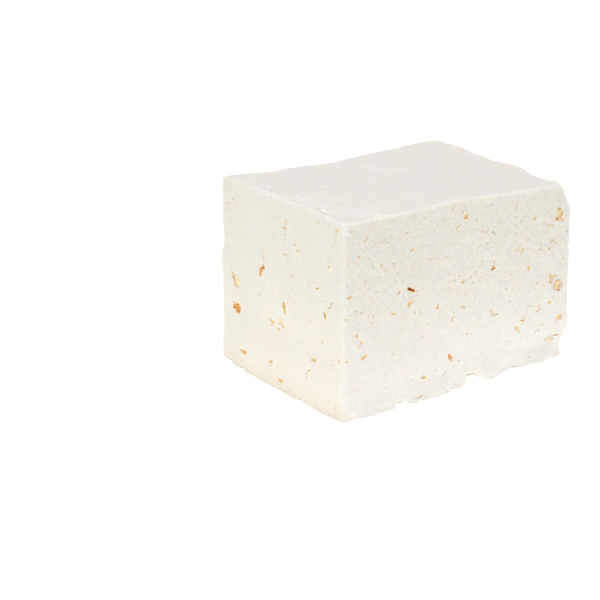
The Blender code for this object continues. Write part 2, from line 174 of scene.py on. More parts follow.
# Lumps that open the larger eyes, in millimetres: right of the side's middle, height,
# width, tall, deep, and turn in degrees. Lumps side by side open one torn eye.
FRONT_EYES = (
    (-27, 48, 2.5, 1.4, 5, -20), (-25.3, 47.2, 2.3, 1.3, 5, -26), (-32.4, 47.6, 0.9, 2.5, 0.7, -32),
    (-23.2, 46.5, 1.5, 0.8, 0.5, 0), (-26.9, 41.7, 2, 2.7, 0.7, -20), (-25.7, 42.7, 2.6, 2.4, 0.38, 30),
    (-49.2, 72.4, 2.1, 0.9, 0.65, 35), (-26.3, 64.2, 2, 1.6, 0.72, 0), (-52.5, 66.2, 1.3, 0.9, 0.5, 20),
    (-57.1, 50.6, 2.7, 0.8, 0.5, 0), (-57.3, 51.3, 0.8, 1.2, 0.36, 0), (-41.2, 60.8, 1.3, 1.5, 0.5, 20),
    (-40, 58.9, 0.7, 1.5, 0.36, 35), (-38.7, 57.7, 0.9, 0.8, 0.36, 0), (-46.6, 62.7, 0.7, 1.3, 0.36, 35),
    (-35.2, 60.1, 1.3, 0.8, 0.5, -25), (-26.1, 57.5, 1.4, 0.7, 0.36, 0), (-49.4, 55.9, 1.9, 0.6, 0.36, 35),
    (-42.9, 50.1, 1.4, 0.6, 0.36, -40), (-35, 39.4, 1.8, 1.1, 0.65, 0), (-36.4, 39.9, 1.4, 0.6, 0.36, -15),
    (-12.1, 37.3, 1.9, 1.4, 0.6, 20), (-11.7, 38.3, 0.8, 1, 0.36, 0), (-21.4, 38.6, 0.8, 1.5, 0.36, 15),
    (-20.9, 36.8, 1, 0.8, 0.36, 0), (-45.2, 40.3, 0.9, 1.2, 0.36, 0), (-43.8, 41.2, 1.1, 0.7, 0.36, 0),
    (-45.2, 37.8, 1.2, 0.7, 0.36, -30), (-53.6, 44.1, 1.8, 0.6, 0.36, 0), (-50.7, 43.1, 1, 0.6, 0.36, 0),
    (-53, 34.1, 1.3, 1.7, 0.58, 0), (-58.3, 41.8, 1.1, 1, 0.43, 0), (-51.4, 30, 3.2, 0.8, 0.45, 37),
    (-49.8, 24.2, 2.4, 1.7, 0.72, 28), (-48.2, 24.9, 1.9, 0.7, 0.43, 0), (-34.8, 22.4, 0.8, 1.3, 0.43, 0),
    (-20.4, 9.6, 2.2, 1.5, 0.65, 0), (-19.3, 9.2, 1.5, 1, 0.36, 0), (-5.6, 14.8, 1.8, 3.2, 1.7, 12),
    (-4.7, 13.9, 2, 2.2, 0.94, -35), (-24.2, 3.1, 4.6, 2.2, 0.2, 8), (-4, 3.4, 2.2, 1.4, 0.22, 0),
    (1.3, 73, 2.3, 2.3, 0.95, 0), (1.6, 74.2, 0.8, 1.2, 0.43, -15), (-0.5, 75.6, 1, 0.7, 0.36, 0),
    (-2.8, 69.4, 2.1, 0.8, 0.43, 35), (10.6, 65.3, 0.9, 1.2, 0.43, 0), (12.8, 64.6, 1.1, 0.7, 0.36, 0),
    (16.2, 64, 2, 0.6, 0.36, -12), (17.1, 63, 0.7, 1.4, 0.36, 20), (13.1, 59.8, 0.9, 0.8, 0.43, 0),
    (9.3, 59.6, 1.2, 0.7, 0.36, 20), (16.9, 48, 2.5, 1.1, 1.9, 0), (17.1, 48.9, 1.1, 1.5, 1.5, 0),
    (17.7, 50.9, 0.6, 2.2, 0.36, -6), (37.2, 44.6, 2.2, 1.8, 0.7, 0), (37.6, 43.7, 1, 1.5, 0.5, 20),
    (27.7, 43.7, 1.4, 1, 0.5, 0), (24.7, 37.7, 1.2, 0.9, 0.5, 0), (0.8, 45.3, 2.2, 1.1, 0.72, 0),
    (0.9, 46.2, 1, 1.5, 0.5, 0), (-3.5, 47.2, 1.3, 0.7, 0.43, 20), (-0.9, 48.4, 0.8, 1.2, 0.3, 30),
    (5.1, 47, 0.8, 1.6, 0.36, -35), (7.7, 48.5, 0.8, 1.5, 0.36, -35), (42.3, 36.8, 1, 1.4, 0.5, 0),
    (-8.6, 57.9, 1.2, 0.8, 0.43, 0), (-13.3, 58.4, 0.9, 1.4, 0.36, 15), (-17, 58.7, 1.3, 0.6, 0.36, 0),
    (35.9, 56.9, 0.9, 2.2, 0.5, -12), (29.9, 53.6, 2.4, 0.7, 0.43, 12), (32.7, 52.5, 0.9, 2.5, 0.5, 0),
    (33.6, 53.6, 1.6, 0.7, 0.43, 0), (36.2, 52.6, 1.4, 1.1, 0.5, 15), (43.1, 51.5, 1.9, 0.7, 0.36, 10),
    (45.2, 50.7, 0.8, 1.1, 0.36, 0), (48.2, 51.2, 1.4, 1.8, 0.5, 0), (49.3, 53.8, 1.9, 0.7, 0.5, 25),
    (50.7, 54.4, 0.6, 2.4, 0.5, -12), (51.5, 52.9, 1.9, 0.6, 0.43, -35), (53.3, 65.3, 3.6, 4.8, 0.4, 0),
    (53.1, 67.3, 2.6, 1.5, 0.75, 15), (52.2, 63.2, 3, 1.7, 0.95, 10), (54.6, 62.6, 2.6, 1.3, 0.65, -35),
    (39, 65.5, 1.9, 1.4, 0.65, 0), (39.9, 66.5, 1.5, 1, 0.43, 30), (47.4, 61.5, 2.1, 0.8, 0.5, -25),
    (49.1, 61, 1.6, 0.9, 0.43, 10), (58.3, 56.8, 1.3, 0.9, 0.5, 0), (50.1, 38.5, 1.9, 2.4, 0.65, 0),
    (50.3, 36, 1.7, 3, 0.8, 8), (52.4, 38.2, 2.3, 1.1, 0.45, -10), (53.9, 35.5, 3, 1.1, 0.55, 8),
    (53.3, 33.4, 1.3, 3, 0.65, 0), (54.7, 33.6, 2, 1.6, 0.65, 35), (54.6, 31.6, 2.6, 1.6, 0.72, -12),
    (56.7, 33.3, 0.9, 2.6, 0.4, -8), (50, 26.8, 1.7, 1.4, 0.58, 15), (51.8, 28.4, 1.2, 0.7, 0.36, 20),
    (37.9, 27.2, 2.1, 0.7, 0.5, 30), (40.3, 27.3, 1.6, 0.5, 0.36, -5), (44.3, 26.2, 0.9, 1.3, 0.43, -15),
    (43.9, 24.2, 2.8, 0.8, 0.58, 22), (34.8, 21.7, 2.9, 0.8, 0.65, -10), (35.4, 23.2, 0.9, 1.5, 0.43, -10),
    (31.8, 18.9, 1.8, 2.3, 0.6, 15), (33, 17.1, 1.2, 1, 0.43, 0), (42.6, 14.6, 0.8, 1.4, 0.36, 15),
    (44.5, 15.3, 0.7, 1.9, 0.36, -35), (46.6, 17.4, 0.8, 0.7, 0.36, 0), (55.9, 18.9, 3.6, 2.6, 0.4, 12),
    (56.9, 18.2, 1.5, 1.8, 0.36, 0), (51.6, 8.7, 5.2, 4.2, 0.24, -12), (55.3, 10.6, 3.9, 1.2, 0.5, -6),
    (-4.2, 30.4, 0.9, 2.2, 0.58, -10), (-3.4, 31.2, 1.4, 0.8, 0.36, 0), (1.3, 34.7, 2.7, 1.2, 0.28, -12),
    (18.8, 27.7, 4.2, 1.3, 0.32, 0), (16.9, 29.4, 1.1, 2.9, 0.28, 22), (1.3, 22.9, 1.1, 0.8, 0.43, 0),
    (4.1, 22.4, 1.2, 0.9, 0.5, 0), (-8.8, 9.2, 0.9, 1.1, 0.36, 0), (-10.2, 8.3, 1.1, 0.7, 0.36, 0),
    (-13.7, 11, 1, 0.7, 0.36, 0), (-58, 24.4, 1.4, 0.9, 0.58, -20),
    # faint halos and strokes
    (53.9, 33.9, 4.6, 5.2, 0.22, 0), (50.3, 37.3, 2.8, 4.6, 0.22, 0), (-56.1, 77, 2.4, 0.7, 0.25, 0),
    (-37.6, 74.3, 2, 0.6, 0.25, -40), (-41.4, 70, 3.4, 0.5, 0.22, 5), (-5.8, 77.3, 0.7, 2.2, 0.22, 10),
    (-54.4, 65.2, 2.2, 0.5, 0.25, 35), (-45.2, 66.9, 1.4, 0.6, 0.22, -30),
    (-49.6, 67.7, 1.2, 0.6, 0.22, 0), (24, 70, 2.2, 0.6, 0.22, -55), (28.5, 68.2, 2, 0.6, 0.22, -60),
    (31.6, 66, 1.8, 0.5, 0.22, -50), (21, 66.5, 1.8, 0.5, 0.22, -60), (35, 71.5, 1.6, 0.6, 0.22, -30),
    (15.5, 70, 1.4, 0.6, 0.22, 0),
)
CUT_EYES = (
    (-31.9, 26.3, 4.6, 2.4, 1.9, 8), (-32.3, 24.9, 5.6, 2, 1.5, -4), (-31.3, 23.7, 3, 1.6, 1.6, 0),
    (-30.1, 25.6, 2.2, 3.2, 2.3, 0), (-33.4, 27.2, 2.2, 1.4, 0.94, 0), (-13.5, 47.9, 4.4, 1.9, 2, 22),
    (-14.3, 45.9, 2.3, 3.8, 1.5, -10), (-12.2, 49.2, 1.4, 2.6, 1, 30), (-12, 52.6, 0.7, 2.7, 0.43, -12),
    (-12.9, 55, 0.8, 2.6, 0.43, 12), (-10.4, 51.4, 0.6, 2.2, 0.3, 12), (-32.3, 38.6, 5.2, 3, 0.4, 0),
    (-31.9, 36.4, 4, 4.2, 0.5, 0), (-34.4, 40.4, 1.9, 1.4, 0.5, 0), (2.1, 36.2, 2.4, 3.4, 1.3, 6),
    (2.7, 34, 1.8, 2.8, 0.9, 0), (-6.5, 27.2, 3.6, 1.3, 0.45, -18), (-4.7, 27.2, 1.3, 2.8, 0.45, -28),
    (-6, 25.8, 2.4, 1, 0.4, 38), (0.4, 29, 1.2, 3.8, 0.5, 12), (1.7, 27.4, 2.8, 1.2, 0.5, -35),
    (-0.8, 27.8, 2.1, 1, 0.4, 28), (-1.2, 25.1, 2.2, 0.9, 0.5, 10), (2.9, 69.2, 2.8, 1.5, 0.65, 0),
    (1.6, 70.9, 1.4, 1.3, 0.43, 0), (4, 72.2, 1.1, 2.7, 0.43, -10), (3.4, 66.8, 1.3, 0.8, 0.36, 0),
    (3, 58.2, 2.4, 0.8, 0.5, 0), (4.1, 57.6, 1, 1.1, 0.36, 0), (5.2, 56.2, 1.3, 0.6, 0.36, -30),
    (10, 64.2, 1.9, 0.9, 0.5, 10), (11.7, 61.8, 1.6, 0.8, 0.5, -10), (12.6, 63.7, 0.6, 1.4, 0.3, 0),
    (32.6, 60.9, 1.6, 1.2, 0.58, 0), (32.2, 63.6, 1.3, 0.7, 0.36, -30), (25, 49.9, 2.4, 1, 0.72, 12),
    (26, 50.6, 1, 0.9, 0.43, 0), (34.5, 45.9, 0.9, 2.6, 0.72, 6), (33.4, 44.3, 1.9, 0.8, 0.5, 15),
    (30.3, 40.1, 1.3, 2.6, 2.6, 0), (29.8, 41.4, 1.6, 0.8, 0.58, 20), (20.4, 34.8, 1.1, 1.4, 0.43, 0),
    (28.5, 28.6, 1.7, 0.8, 0.5, 0), (25.5, 77, 1.1, 1.3, 0.58, 0), (37.2, 76.2, 1.2, 1.6, 0.58, -25),
    (38.2, 77, 1.3, 0.8, 0.5, 20), (-3, 10.8, 2.9, 1.8, 0.72, 0), (-2.5, 9.6, 1.3, 2, 0.5, 10),
    (24.3, 19.6, 3.6, 1.2, 0.65, 0), (25, 20.4, 1.6, 1.2, 0.5, -20), (39.7, 24.2, 2, 0.8, 0.65, -35),
    (22.4, 15, 2.2, 0.7, 0.5, 0), (21.4, 13.3, 1.1, 0.9, 0.43, 0), (22, 11.9, 1, 0.9, 0.43, 0),
    (36.6, 21.4, 1.7, 0.7, 0.43, 0), (38.2, 20, 2, 0.5, 0.36, -10), (-22.8, 8.9, 5, 2.2, 1.1, 0),
    (5.2, 5.3, 3, 1.5, 0.72, 0), (-34.2, 72.6, 1.2, 0.8, 0.43, 0), (-38.1, 70, 1.4, 0.9, 0.5, 20),
    (-15.2, 59.6, 1.1, 0.8, 0.36, 0), (-4.7, 39.8, 1.2, 0.8, 0.36, 0), (8.1, 50.5, 1.1, 0.9, 0.43, 0),
    (40.9, 5.6, 1.2, 0.8, 0.36, 0), (-41.3, 76.8, 1.2, 1.6, 0.65, 0), (6.1, 41.4, 0.5, 2.2, 0.3, -8),
    (8, 44.8, 0.5, 1.8, 0.3, -20),
)
TOP_EYES = (
    (-55.1, 10.6, 2.2, 0.7, 0.35, -36), (-55.6, 1.2, 1, 0.8, 0.4, 0), (-53.9, -0.2, 0.9, 0.8, 0.45, 0),
    (-53.8, -3.1, 1, 0.9, 0.5, 0), (-51.5, -4.3, 1.1, 0.9, 0.6, 0), (-56, -20.9, 2, 0.9, 0.5, -36),
    (-52.7, -23.4, 2.6, 0.8, 0.5, -36),
)
# Larger eyes of the sides out of sight, drawn at random in millimetres: how many, their
# least and greatest width, height and depth as shares of the width, greatest turn in degrees,
# and how far they keep from the edges of their side and from each other
SEEDED_EYES = {"back": 19, "end": 12}
EYE_SEED = 41
EYE_WIDTH = (1.6, 5.0)
EYE_TALL = (0.6, 1.1)
EYE_DEEP = (0.35, 0.8)
EYE_TURN = 40.0
EYE_MARGIN = 6.0
EYE_GAP = 1.2
# A smaller lump tears each of them: its shift and its size as shares of the eye's
TEAR_SHIFT = (-0.5, 0.5)
TEAR_WIDTH = 0.7
TEAR_TALL = (0.3, 0.6)
TEAR_DEEP = 0.8
# Torn eyes and fine pits drawn beside the larger eyes: how many on each side, and how far
# they keep from its edges and its top
DRAWN_SIDES = {"front": (0, 240), "cut": (0, 70), "back": (24, 170), "end": (16, 120)}
DRAW_SEED = 41
DRAWN_MARGIN = 2
DRAWN_TOP_MARGIN = 3
# Their least width and how much more, and their depth as a share of the width
PIT_WIDTH = (0.5, 0.6)
PIT_DEEP = (0.25, 0.4)
TORN_WIDTH = (1.3, 3.2)
TORN_DEEP = (0.3, 0.6)
# Lumps of a torn eye: how many, height as a share of the width, and the next one's shift and
# width as shares of the width of the one before
LUMP_COUNTS = (1, 2, 2, 3)
LUMP_TALL = (0.35, 1.0)
NEXT_SHIFT = (-0.45, 0.45)
NEXT_WIDTH = (0.55, 0.9)
ANY_TURN = (-90, 90)
# Stamps for the eyes: how many, how uneven, and the width from which an eye gets a fine one
EYE_STAMPS = 7
EYE_UNEVEN = 0.3
LARGE_EYE = 2.4
# How far every stamp's unevenness follows its normals, as a share, and how often a fine and
# a plain one are divided
STAMP_BULGE = 0.6
FINE_STAMP = 3
PLAIN_STAMP = 2
# Height in millimetres over a side from which a place on its skin is looked for
LOOK_FROM = 10

# Burrs torn up on the top, in millimetres: place on the true box, width, height
BURRS = (
    (-57.4, 11.2, 1.3, 1.9), (-58.4, 10.4, 1.7, 0.8), (-57.5, 0.9, 1.8, 0.9), (-58.4, -0.8, 1.4, 0.5),
    (-53.9, -1.2, 1.5, 0.4), (-52.4, -0.8, 1.7, 0.5), (-52.2, -2.4, 1.7, 0.45), (-50.8, -2.1, 1.4, 0.4),
    (-52.1, -5.3, 1.5, 0.35), (-47.2, -1.7, 2, 0.45), (-56, -24.4, 3, 1.2), (-55.6, -24, 1.8, 2.4),
    (-56.8, -26.2, 2.2, 0.8), (-56.3, -27.6, 2.3, 1), (-56.3, -29.4, 1.8, 0.7), (-53.9, -20, 1.6, 0.4),
    (-34.9, 3.3, 1.7, 0.8), (-58.4, -9.6, 1.3, 0.4), (-58.6, -13.8, 1.2, 0.4), (-57.8, 7, 1.2, 0.4),
)
# Loose crumbs on the top, in millimetres: place on the true box, width, height
CRUMBS = (
    (-28.1, -11.2, 1.1, 0.4), (-27.5, -13.6, 1, 0.35), (-33.9, -17.8, 1.5, 0.45), (-30.6, -19.5, 1.5, 0.5),
    (-40, -9.6, 1, 0.35), (-38.9, -13.2, 1.1, 0.35), (-23.7, 32.8, 1.2, 0.4),
)
# Crumbs drawn near the cut: how many, where the nearest lies and how much further the others,
# how far along the cut, least width and how much more, and height as a share of the width
DRAWN_CRUMBS = 18
CRUMB_SEED = 12
CRUMBS_FROM = -HALF_LENGTH + 1.2
CRUMBS_SPREAD = 8.0
CRUMBS_ALONG = (-36, 30)
CRUMB_WIDTH = (0.4, 0.6)
CRUMB_TALL = 0.4
BURR_SEED = 5
# Stamps for burrs and crumbs: how many and how uneven
DOME_STAMPS = 6
BURR_UNEVEN = 0.15
CRUMB_UNEVEN = 0.2
# Where they stand: the height over the top from which the skin is looked for, how deep they
# are sunk, how their widths vary, and the half height as a share of the height
DOME_LOOK_FROM = 9
DOME_SUNK = 0.05 * MM
DOME_VARIES = (0.85, 1.15)
DOME_TALL = 0.85

# Smears on the top, in millimetres on the true box: points, half width, rise of the skin,
# and tone, from -1 for wet and grey to 1 for white
SMEARS = (
    (((5.0, 28.6), (3.8, 23.2), (2.9, 17.6), (6.0, 13.2), (9.9, 9.2), (10.9, 6.4)), 1.9, 0.12, 0.6),
    (((10.9, -1.2), (13.6, -5.4), (16.1, -11.8)), 1.3, 0.12, 0.45),
    (((17.6, -19.0), (18.8, -23.3)), 1.2, 0.12, 0.35),
    (((-28.7, 33.2), (-20.4, 25.1)), 1.3, -0.15, -0.5),
    (((-22.5, 13.1), (-22.5, -0.5), (-19.1, -9.5), (-16.0, -21.8)), 1.3, -0.18, -0.55),
    (((-50.9, 29.0), (-48.3, 24.1)), 1.4, -0.12, -0.4),
    (((-49.7, -34.8), (-42.7, -37.7), (-37.1, -41.7)), 1.0, 0.16, 0.5),
    (((-36.3, -28.2), (-32.7, -36.2)), 1.0, 0.12, 0.5),
    (((-45.2, -24.0), (-41.0, -31.0), (-36.6, -36.6)), 0.9, 0.10, 0.35),
    (((-47.5, -2.5), (-43.0, -4.6), (-40.3, -10.0), (-39.2, -16.5)), 3.2, 0.10, 0.36),
    (((-56.6, 1.0), (-52.7, -6.4)), 2.0, 0.15, 0.5),
    (((-53.0, -12.0), (-49.0, -30.0), (-42.0, -35.0)), 6.0, 0.0, 0.42),
)
# A smear takes hold of points this near its line, and fades out over this share of its half
# width. It is on the top, which is what lies above this share of the height.
SMEAR_GRIP = 0.8 * MM
SMEAR_REACH = 1.6
TOP_FROM = 0.9

# Parts of the skin: how far a normal has to face a side and over what span the part fades
# in, the same for edges, and the heights in millimetres where foot and coarse curd fade
FACING = 0.55
FACING_SPAN = 0.4
EDGE_SPAN = 0.2
FLOOR_GAP = 0.4
FOOT_TOP = 6.0
FOOT_SPAN = 5.0
UNDERSIDE = -0.6
COARSE_FROM = 15.0
COARSE_SPAN = 40.0
WEIGHT_STEPS = 10
# Textures of the skin: size of the features in millimetres, and how finely they break up
TEXTURES = {
    "wave": (8.0, 1), "lump": (2.4, 2), "grit": (1.1, 1),
    "bead": (0.9, 0), "crumble": (3.2, 3), "nick": (1.3, 1),
}
# Where each stands out: part of the skin, texture, and height as a share of one of the
# form's sizes
RELIEF = (
    ("pressed", "wave", 1.0, "wave"), ("pressed", "lump", 1.0, "pebble"),
    ("pressed", "grit", 0.6, "pebble"), ("coarse", "bead", 1.5, "pebble"),
    ("cut", "wave", 0.3, "wave"), ("cut", "grit", 0.25, "pebble"),
    ("foot", "crumble", 1.0, "crumble"), ("edges", "nick", 0.27, "crumble"),
    ("top", "wave", 0.4, "wave"), ("top", "lump", 0.3, "pebble"),
)

# Marks that the finish follows: rounds of softening, the share of a round that comes from
# the neighbours, how far the smears' skin has to face upward, the height over the skin at
# which a burr is all burr, and the share of it that counts
SOFTENING = 3
EDGE_SOFTENING = 20
BLEED = 0.5
SMEARED_FROM = 0.6
BURR_HEIGHT = 0.2 * MM
BURR_SHARE = 0.2
# The crumbs' marks, the same all over
CRUMB_MARKS = {
    "eye_depth": 0.0, "cut_side": 0.0, "top_side": 0.0, "edge_band": 0.3, "smear": 1.0,
}
# Edges up to these angles are shaded smooth
BLOCK_CREASE = math.radians(55)
CRUMB_CREASE = math.radians(40)

# Layers of the curd's mottle: the scale and detail of each noise
MOTTLE = {
    "cloud": (45.0, 2.0), "lump": (330.0, 2.0), "bead": (800.0, 1.0),
    "grain": (1300.0, 2.0), "flake": (800.0, 2.0),
}
# Flakes lean by this much round Y and are this many times as long as they are wide
FLAKE_LEAN = math.radians(50)
FLAKE_LENGTH = 3.0
# How high grains and flakes stand beside the beads
GRAIN_HEIGHT = 0.6
FLAKE_HEIGHT = 1.4
# Ramps of the finish: from one value to another, and what they give there, which is 0 and 1
# where nothing else is said
RAMPS = {
    "tone": (0.7, 1.3), "bead": (0.35, 0.65), "grain": (0.33, 0.67), "flake": (0.4, 0.66),
    # depth in an eye, in millimetres, by which the shade inside it is painted
    "gold": (0.02, 0.3), "amber": (0.35, 1.3), "deep": (1.9, 4.0),
    # how much the skin faces the cut's side or the top
    "cut": (0.5, 0.9), "knife": (0.2, 0.6), "top": (0.6, 0.95),
    "smooth side": (0.4, 0.9, 1.0, 0.45),
    # height over the floor, which also fades the painted bounce light, the painted shade at the cut's foot
    # and the painted contact shade
    "coarse": (0.15 * HEIGHT * MM, 0.8 * HEIGHT * MM, 0.5, 1.0),
    "low": (4 * MM, 46 * MM, 1.0, 0.0), "low on cut": (12 * MM, 56 * MM, 1.0, 0.0),
    "over foot": (4 * MM, 14 * MM), "shade_at_cut_foot": (1 * MM, 11 * MM, 1.0, 0.0),
    "contact_shade": (0.0, 3.5 * MM, 1.0, 0.0),
    # place along X and Y, where the painted bounce light and the painted edge highlight fade
    "away from end": (15 * MM, 50 * MM, 1.0, 0.6), "near side": (0.0, 40 * MM, 1.0, 0.25),
    "near edge": (8 * MM, 39 * MM, 1.0, 0.2),
    # painted edge highlight, smears and mottle
    "edge": (0.01, 0.14), "ragged": (0.0, 1.0, 0.3, 0.7), "shade": (0.0, 1.0, 0.0, 0.06),
    "wet": (0.0, -0.8), "raised": (0.0, 1.0), "scatter": (0.4, 0.9, 0.6, 0.45),
    "roughness": (0.0, 1.0),
    # the floor's cloud, and how far its glow reaches in metres
    "paper": (0.0, 1.0, 0.0, 0.4), "glow": (0.08, 0.18),
}
# Colours that the curd is multiplied by: in its clouds, painted shade in its grains and flakes, a veil
# over the painted shade in the eyes of the pressed sides, painted yellow-brown shade at the foot of the
# cut and painted contact shade along the foot; and how much of the painted shade the grains and flakes
# take
SHADE = (0.80, 0.74, 0.64, 1.0)
GRAIN_SHADE = (0.73, 0.68, 0.50, 1.0)
FLAKE_SHADE = (0.80, 0.72, 0.58, 1.0)
PRESSED_VEIL = (0.95, 0.925, 0.965, 1.0)
CUT_FOOT_SHADE = (0.955, 0.92, 0.885, 1.0)
FOOT_CONTACT_SHADE = (0.82, 0.84, 0.84, 1.0)
WHITE = (1.0, 1.0, 1.0, 1.0)
GRAIN_SHARE = 0.18
FLAKE_SHARE = 0.2
# How far the curd's roughness goes below and above the finish's, its bump, and how far light
# of each colour scatters in it
ROUGHNESS_SPREAD = (-0.07, 0.1)
BUMP_STRENGTH = 0.8
BUMP_HEIGHT = 0.15 * MM
SCATTER_REACH = 1.5 * MM
SCATTER_COLOR = (1.0, 0.75, 0.5)

# Floor: its paper, the clouds in it, and the light that shines up through it
PAPER = (0.97, 0.97, 0.97, 1.0)
PAPER_CLOUD = (0.955, 0.955, 0.955, 1.0)
GLOW_MIDDLE = (0.47, 0.47, 0.47, 1.0)
GLOW_ROUND = (0.20, 0.20, 0.20, 1.0)
PAPER_ROUGHNESS = 0.8
PAPER_SHINE = 0.1
# Soft lights: turn and height in degrees, distance and width in metres
LIGHTS = {"key": (-62, 50, 1.1, 0.45), "overhead": (0, 88, 2.5, 1.5)}
# The camera's sensor in millimetres, and the nearest that it sees in metres
SENSOR_WIDTH = 36.0
NEAREST_SEEN = 0.01


def color_setting(name, description, default):
    """A colour that can be set."""
    return bpy.props.FloatVectorProperty(
        name=name, description=description, default=default,
        size=3, subtype="COLOR", min=0.0, max=1.0)


def length_setting(name, description, default, least=0.0):
    """A length that can be set."""
    return bpy.props.FloatProperty(
        name=name, description=description, default=default, min=least, unit="LENGTH")


class CheeseForm(bpy.types.PropertyGroup):
    """Sizes of the block's fine shape."""
    knife_edge: length_setting(
        "Knife edge", "Rounding of the edges left by the knife", 0.7 * MM, 0.1 * MM)
    worn_edge: length_setting(
        "Worn edge", "Rounding of the edges round the old end", 1.9 * MM, 0.1 * MM)
    grid: length_setting(
        "Grid", "Spacing of the cuts that the slumps bend", 2.2 * MM, 1.0 * MM)
    grain: length_setting(
        "Grain", "Size of the finest facets of the curd",
        (0.52) * MM, 0.2 * MM)
    wave: length_setting("Wave", "Depth of the broad waves on the pressed sides", 0.6 * MM)
    pebble: length_setting("Pebble", "Depth of the lumps of pressed curd", 0.25 * MM)
    crumble: length_setting("Crumble", "Raggedness of the foot", 1.1 * MM)
    most_triangles: bpy.props.IntProperty(
        name="Most triangles", description="The block is thinned to this many",
        default=192000, min=1000)


class CheeseFinish(bpy.types.PropertyGroup):
    """Colours of the curd, with the light and shade that are painted on it."""
    side_color: color_setting("Sides", "Curd of the pressed sides", (0.833, 0.808, 0.752))
    cut_color: color_setting(
        "Fresh cut", "Curd bared by the knife, high on the cut", (0.828, 0.799, 0.724))
    # Painted bounce light from the table below: the curd is painted paler low on the cut and low on the
    # pressed sides
    bounce_lit_low_cut_color: color_setting(
        "Low on the cut", "Paler curd low on the cut", (0.866, 0.826, 0.738))
    bounce_lit_foot_color: color_setting("Foot", "Paler curd low on the pressed sides", (0.87, 0.842, 0.802))
    top_color: color_setting("Top", "Smeared curd of the top", (0.79, 0.757, 0.722))
    # Painted shade inside the eyes, for light scattered and shaded in the curd: golden on the walls, amber
    # lower and dark brown deepest
    gold_color: color_setting("Eye wall", "Inside of a shallow eye", (1.0, 0.78, 0.44))
    amber_color: color_setting(
        "Eye floor", "Bottom of an eye a millimetre or two deep", (1.0, 0.54, 0.16))
    deep_color: color_setting("Eye depth", "Inside of a deep eye", (0.52, 0.13, 0.03))
    # Painted highlight along the edges: a pale bluish white rim on the pressed sides and on the cut
    pressed_edge_highlight_color: color_setting("Pressed edge highlight", "Edges of the pressed sides", (0.885, 0.90, 0.845))
    cut_edge_highlight_color: color_setting("Knife edges", "Edges of the cut", (0.885, 0.92, 0.895))
    cream_color: color_setting(
        "Cream curd", "Crumbs, burrs and raised smears", (0.87, 0.855, 0.81))
    wet_color: color_setting("Wet curd", "Grooves in the top", (0.70, 0.72, 0.70))
    roughness: bpy.props.FloatProperty(
        name="Roughness", description="How dull the moist curd is",
        default=0.5, min=0.0, max=1.0)


class CheeseStudio(bpy.types.PropertyGroup):
    """Camera, floor and lights."""
    camera_azimuth: bpy.props.FloatProperty(
        name="Azimuth", description="Turn of the camera round the block",
        default=math.radians(-35.58), subtype="ANGLE")
    camera_elevation: bpy.props.FloatProperty(
        name="Elevation", description="Height of the camera over the horizon",
        default=math.radians(19.51), subtype="ANGLE")
    camera_distance: bpy.props.FloatProperty(
        name="Distance", description="From the camera to its aim",
        default=0.6849, unit="LENGTH")
    camera_aim: bpy.props.FloatVectorProperty(
        name="Aim", description="The point at the middle of the picture",
        default=(-0.032415, 0.023988, 0.02605), size=3, unit="LENGTH")
    lens: bpy.props.FloatProperty(
        name="Lens", description="Focal length in millimetres", default=96.0)
    sky: bpy.props.FloatProperty(
        name="Sky", description="Strength of the light from all round", default=0.65)
    key: bpy.props.FloatProperty(
        name="Key", description="Power of the soft light from the left, in watts", default=0.9)
    overhead: bpy.props.FloatProperty(
        name="Overhead", description="Power of the wide light overhead, in watts", default=24.0)
    floor_size: bpy.props.FloatProperty(
        name="Floor", description="Width of the floor", default=8.0, unit="LENGTH")


def select_only(item):
    """Select one object and make it active."""
    bpy.ops.object.select_all(action="DESELECT")
    item.select_set(True)
    bpy.context.view_layer.objects.active = item


def apply_modifier(item, name, kind, **settings):
    """Add a modifier with these settings and apply it."""
    select_only(item)
    modifier = item.modifiers.new(name, kind)
    for key, value in settings.items():
        setattr(modifier, key, value)
    bpy.ops.object.modifier_apply(modifier=modifier.name)


def true_point(point):
    """A point of the true box, in millimetres, placed in the frame in metres."""
    return Vector((point[0] + TRUE_MIDDLE[0], point[1] + TRUE_MIDDLE[1], point[2])) * MM


def distance_to_line(point, start, end):
    """Distance from a point to the straight stretch from start to end."""
    along = end - start
    if along.length < POINT_LIKE:
        return (point - start).length
    share = (point - start).dot(along) / along.length_squared
    return (point - (start + along * min(max(share, 0.0), 1.0))).length


def bevel_edges(item, wanted, width, segments):
    """Bevel the wanted edges of the mesh in edit mode."""
    bpy.ops.mesh.select_all(action="DESELECT")
    shape = bmesh.from_edit_mesh(item.data)
    for edge in shape.edges:
        if wanted(edge):
            edge.select_set(True)
    bmesh.update_edit_mesh(item.data)
    bpy.ops.mesh.bevel(offset=width, segments=segments, profile=0.5, affect="EDGES")


def round_box(item, form):
    """Round the box: worn edges round the old end, knife edges elsewhere."""
    middle = true_point((0, 0, HEIGHT / 2))

    def worn(edge):
        at_end = all(vert.co.x > middle.x for vert in edge.verts)
        on_foot = all(vert.co.z < middle.z for vert in edge.verts)
        return at_end and not on_foot

    def crisp(edge):
        return edge.calc_face_angle(0.0) > CRISP_TURN

    bevel_edges(item, worn, form.worn_edge, segments=2)
    bevel_edges(item, crisp, form.knife_edge, segments=1)


def slice_box(form):
    """Cut a grid over the box's skin."""
    low = true_point((-HALF_LENGTH, -HALF_DEPTH, 0))
    high = true_point((HALF_LENGTH, HALF_DEPTH, HEIGHT))
    for axis in range(3):
        count = round((high[axis] - low[axis]) / form.grid)
        normal = Vector((0, 0, 0))
        normal[axis] = 1.0
        for step in range(1, count):
            place = low.lerp(high, step / count)
            bpy.ops.mesh.select_all(action="SELECT")
            bpy.ops.mesh.bisect(plane_co=place, plane_no=normal)


def edge_point(edge, place):
    """The point of the true box at this place along an edge."""
    return true_point([place if part is None else part for part in EDGES[edge]])


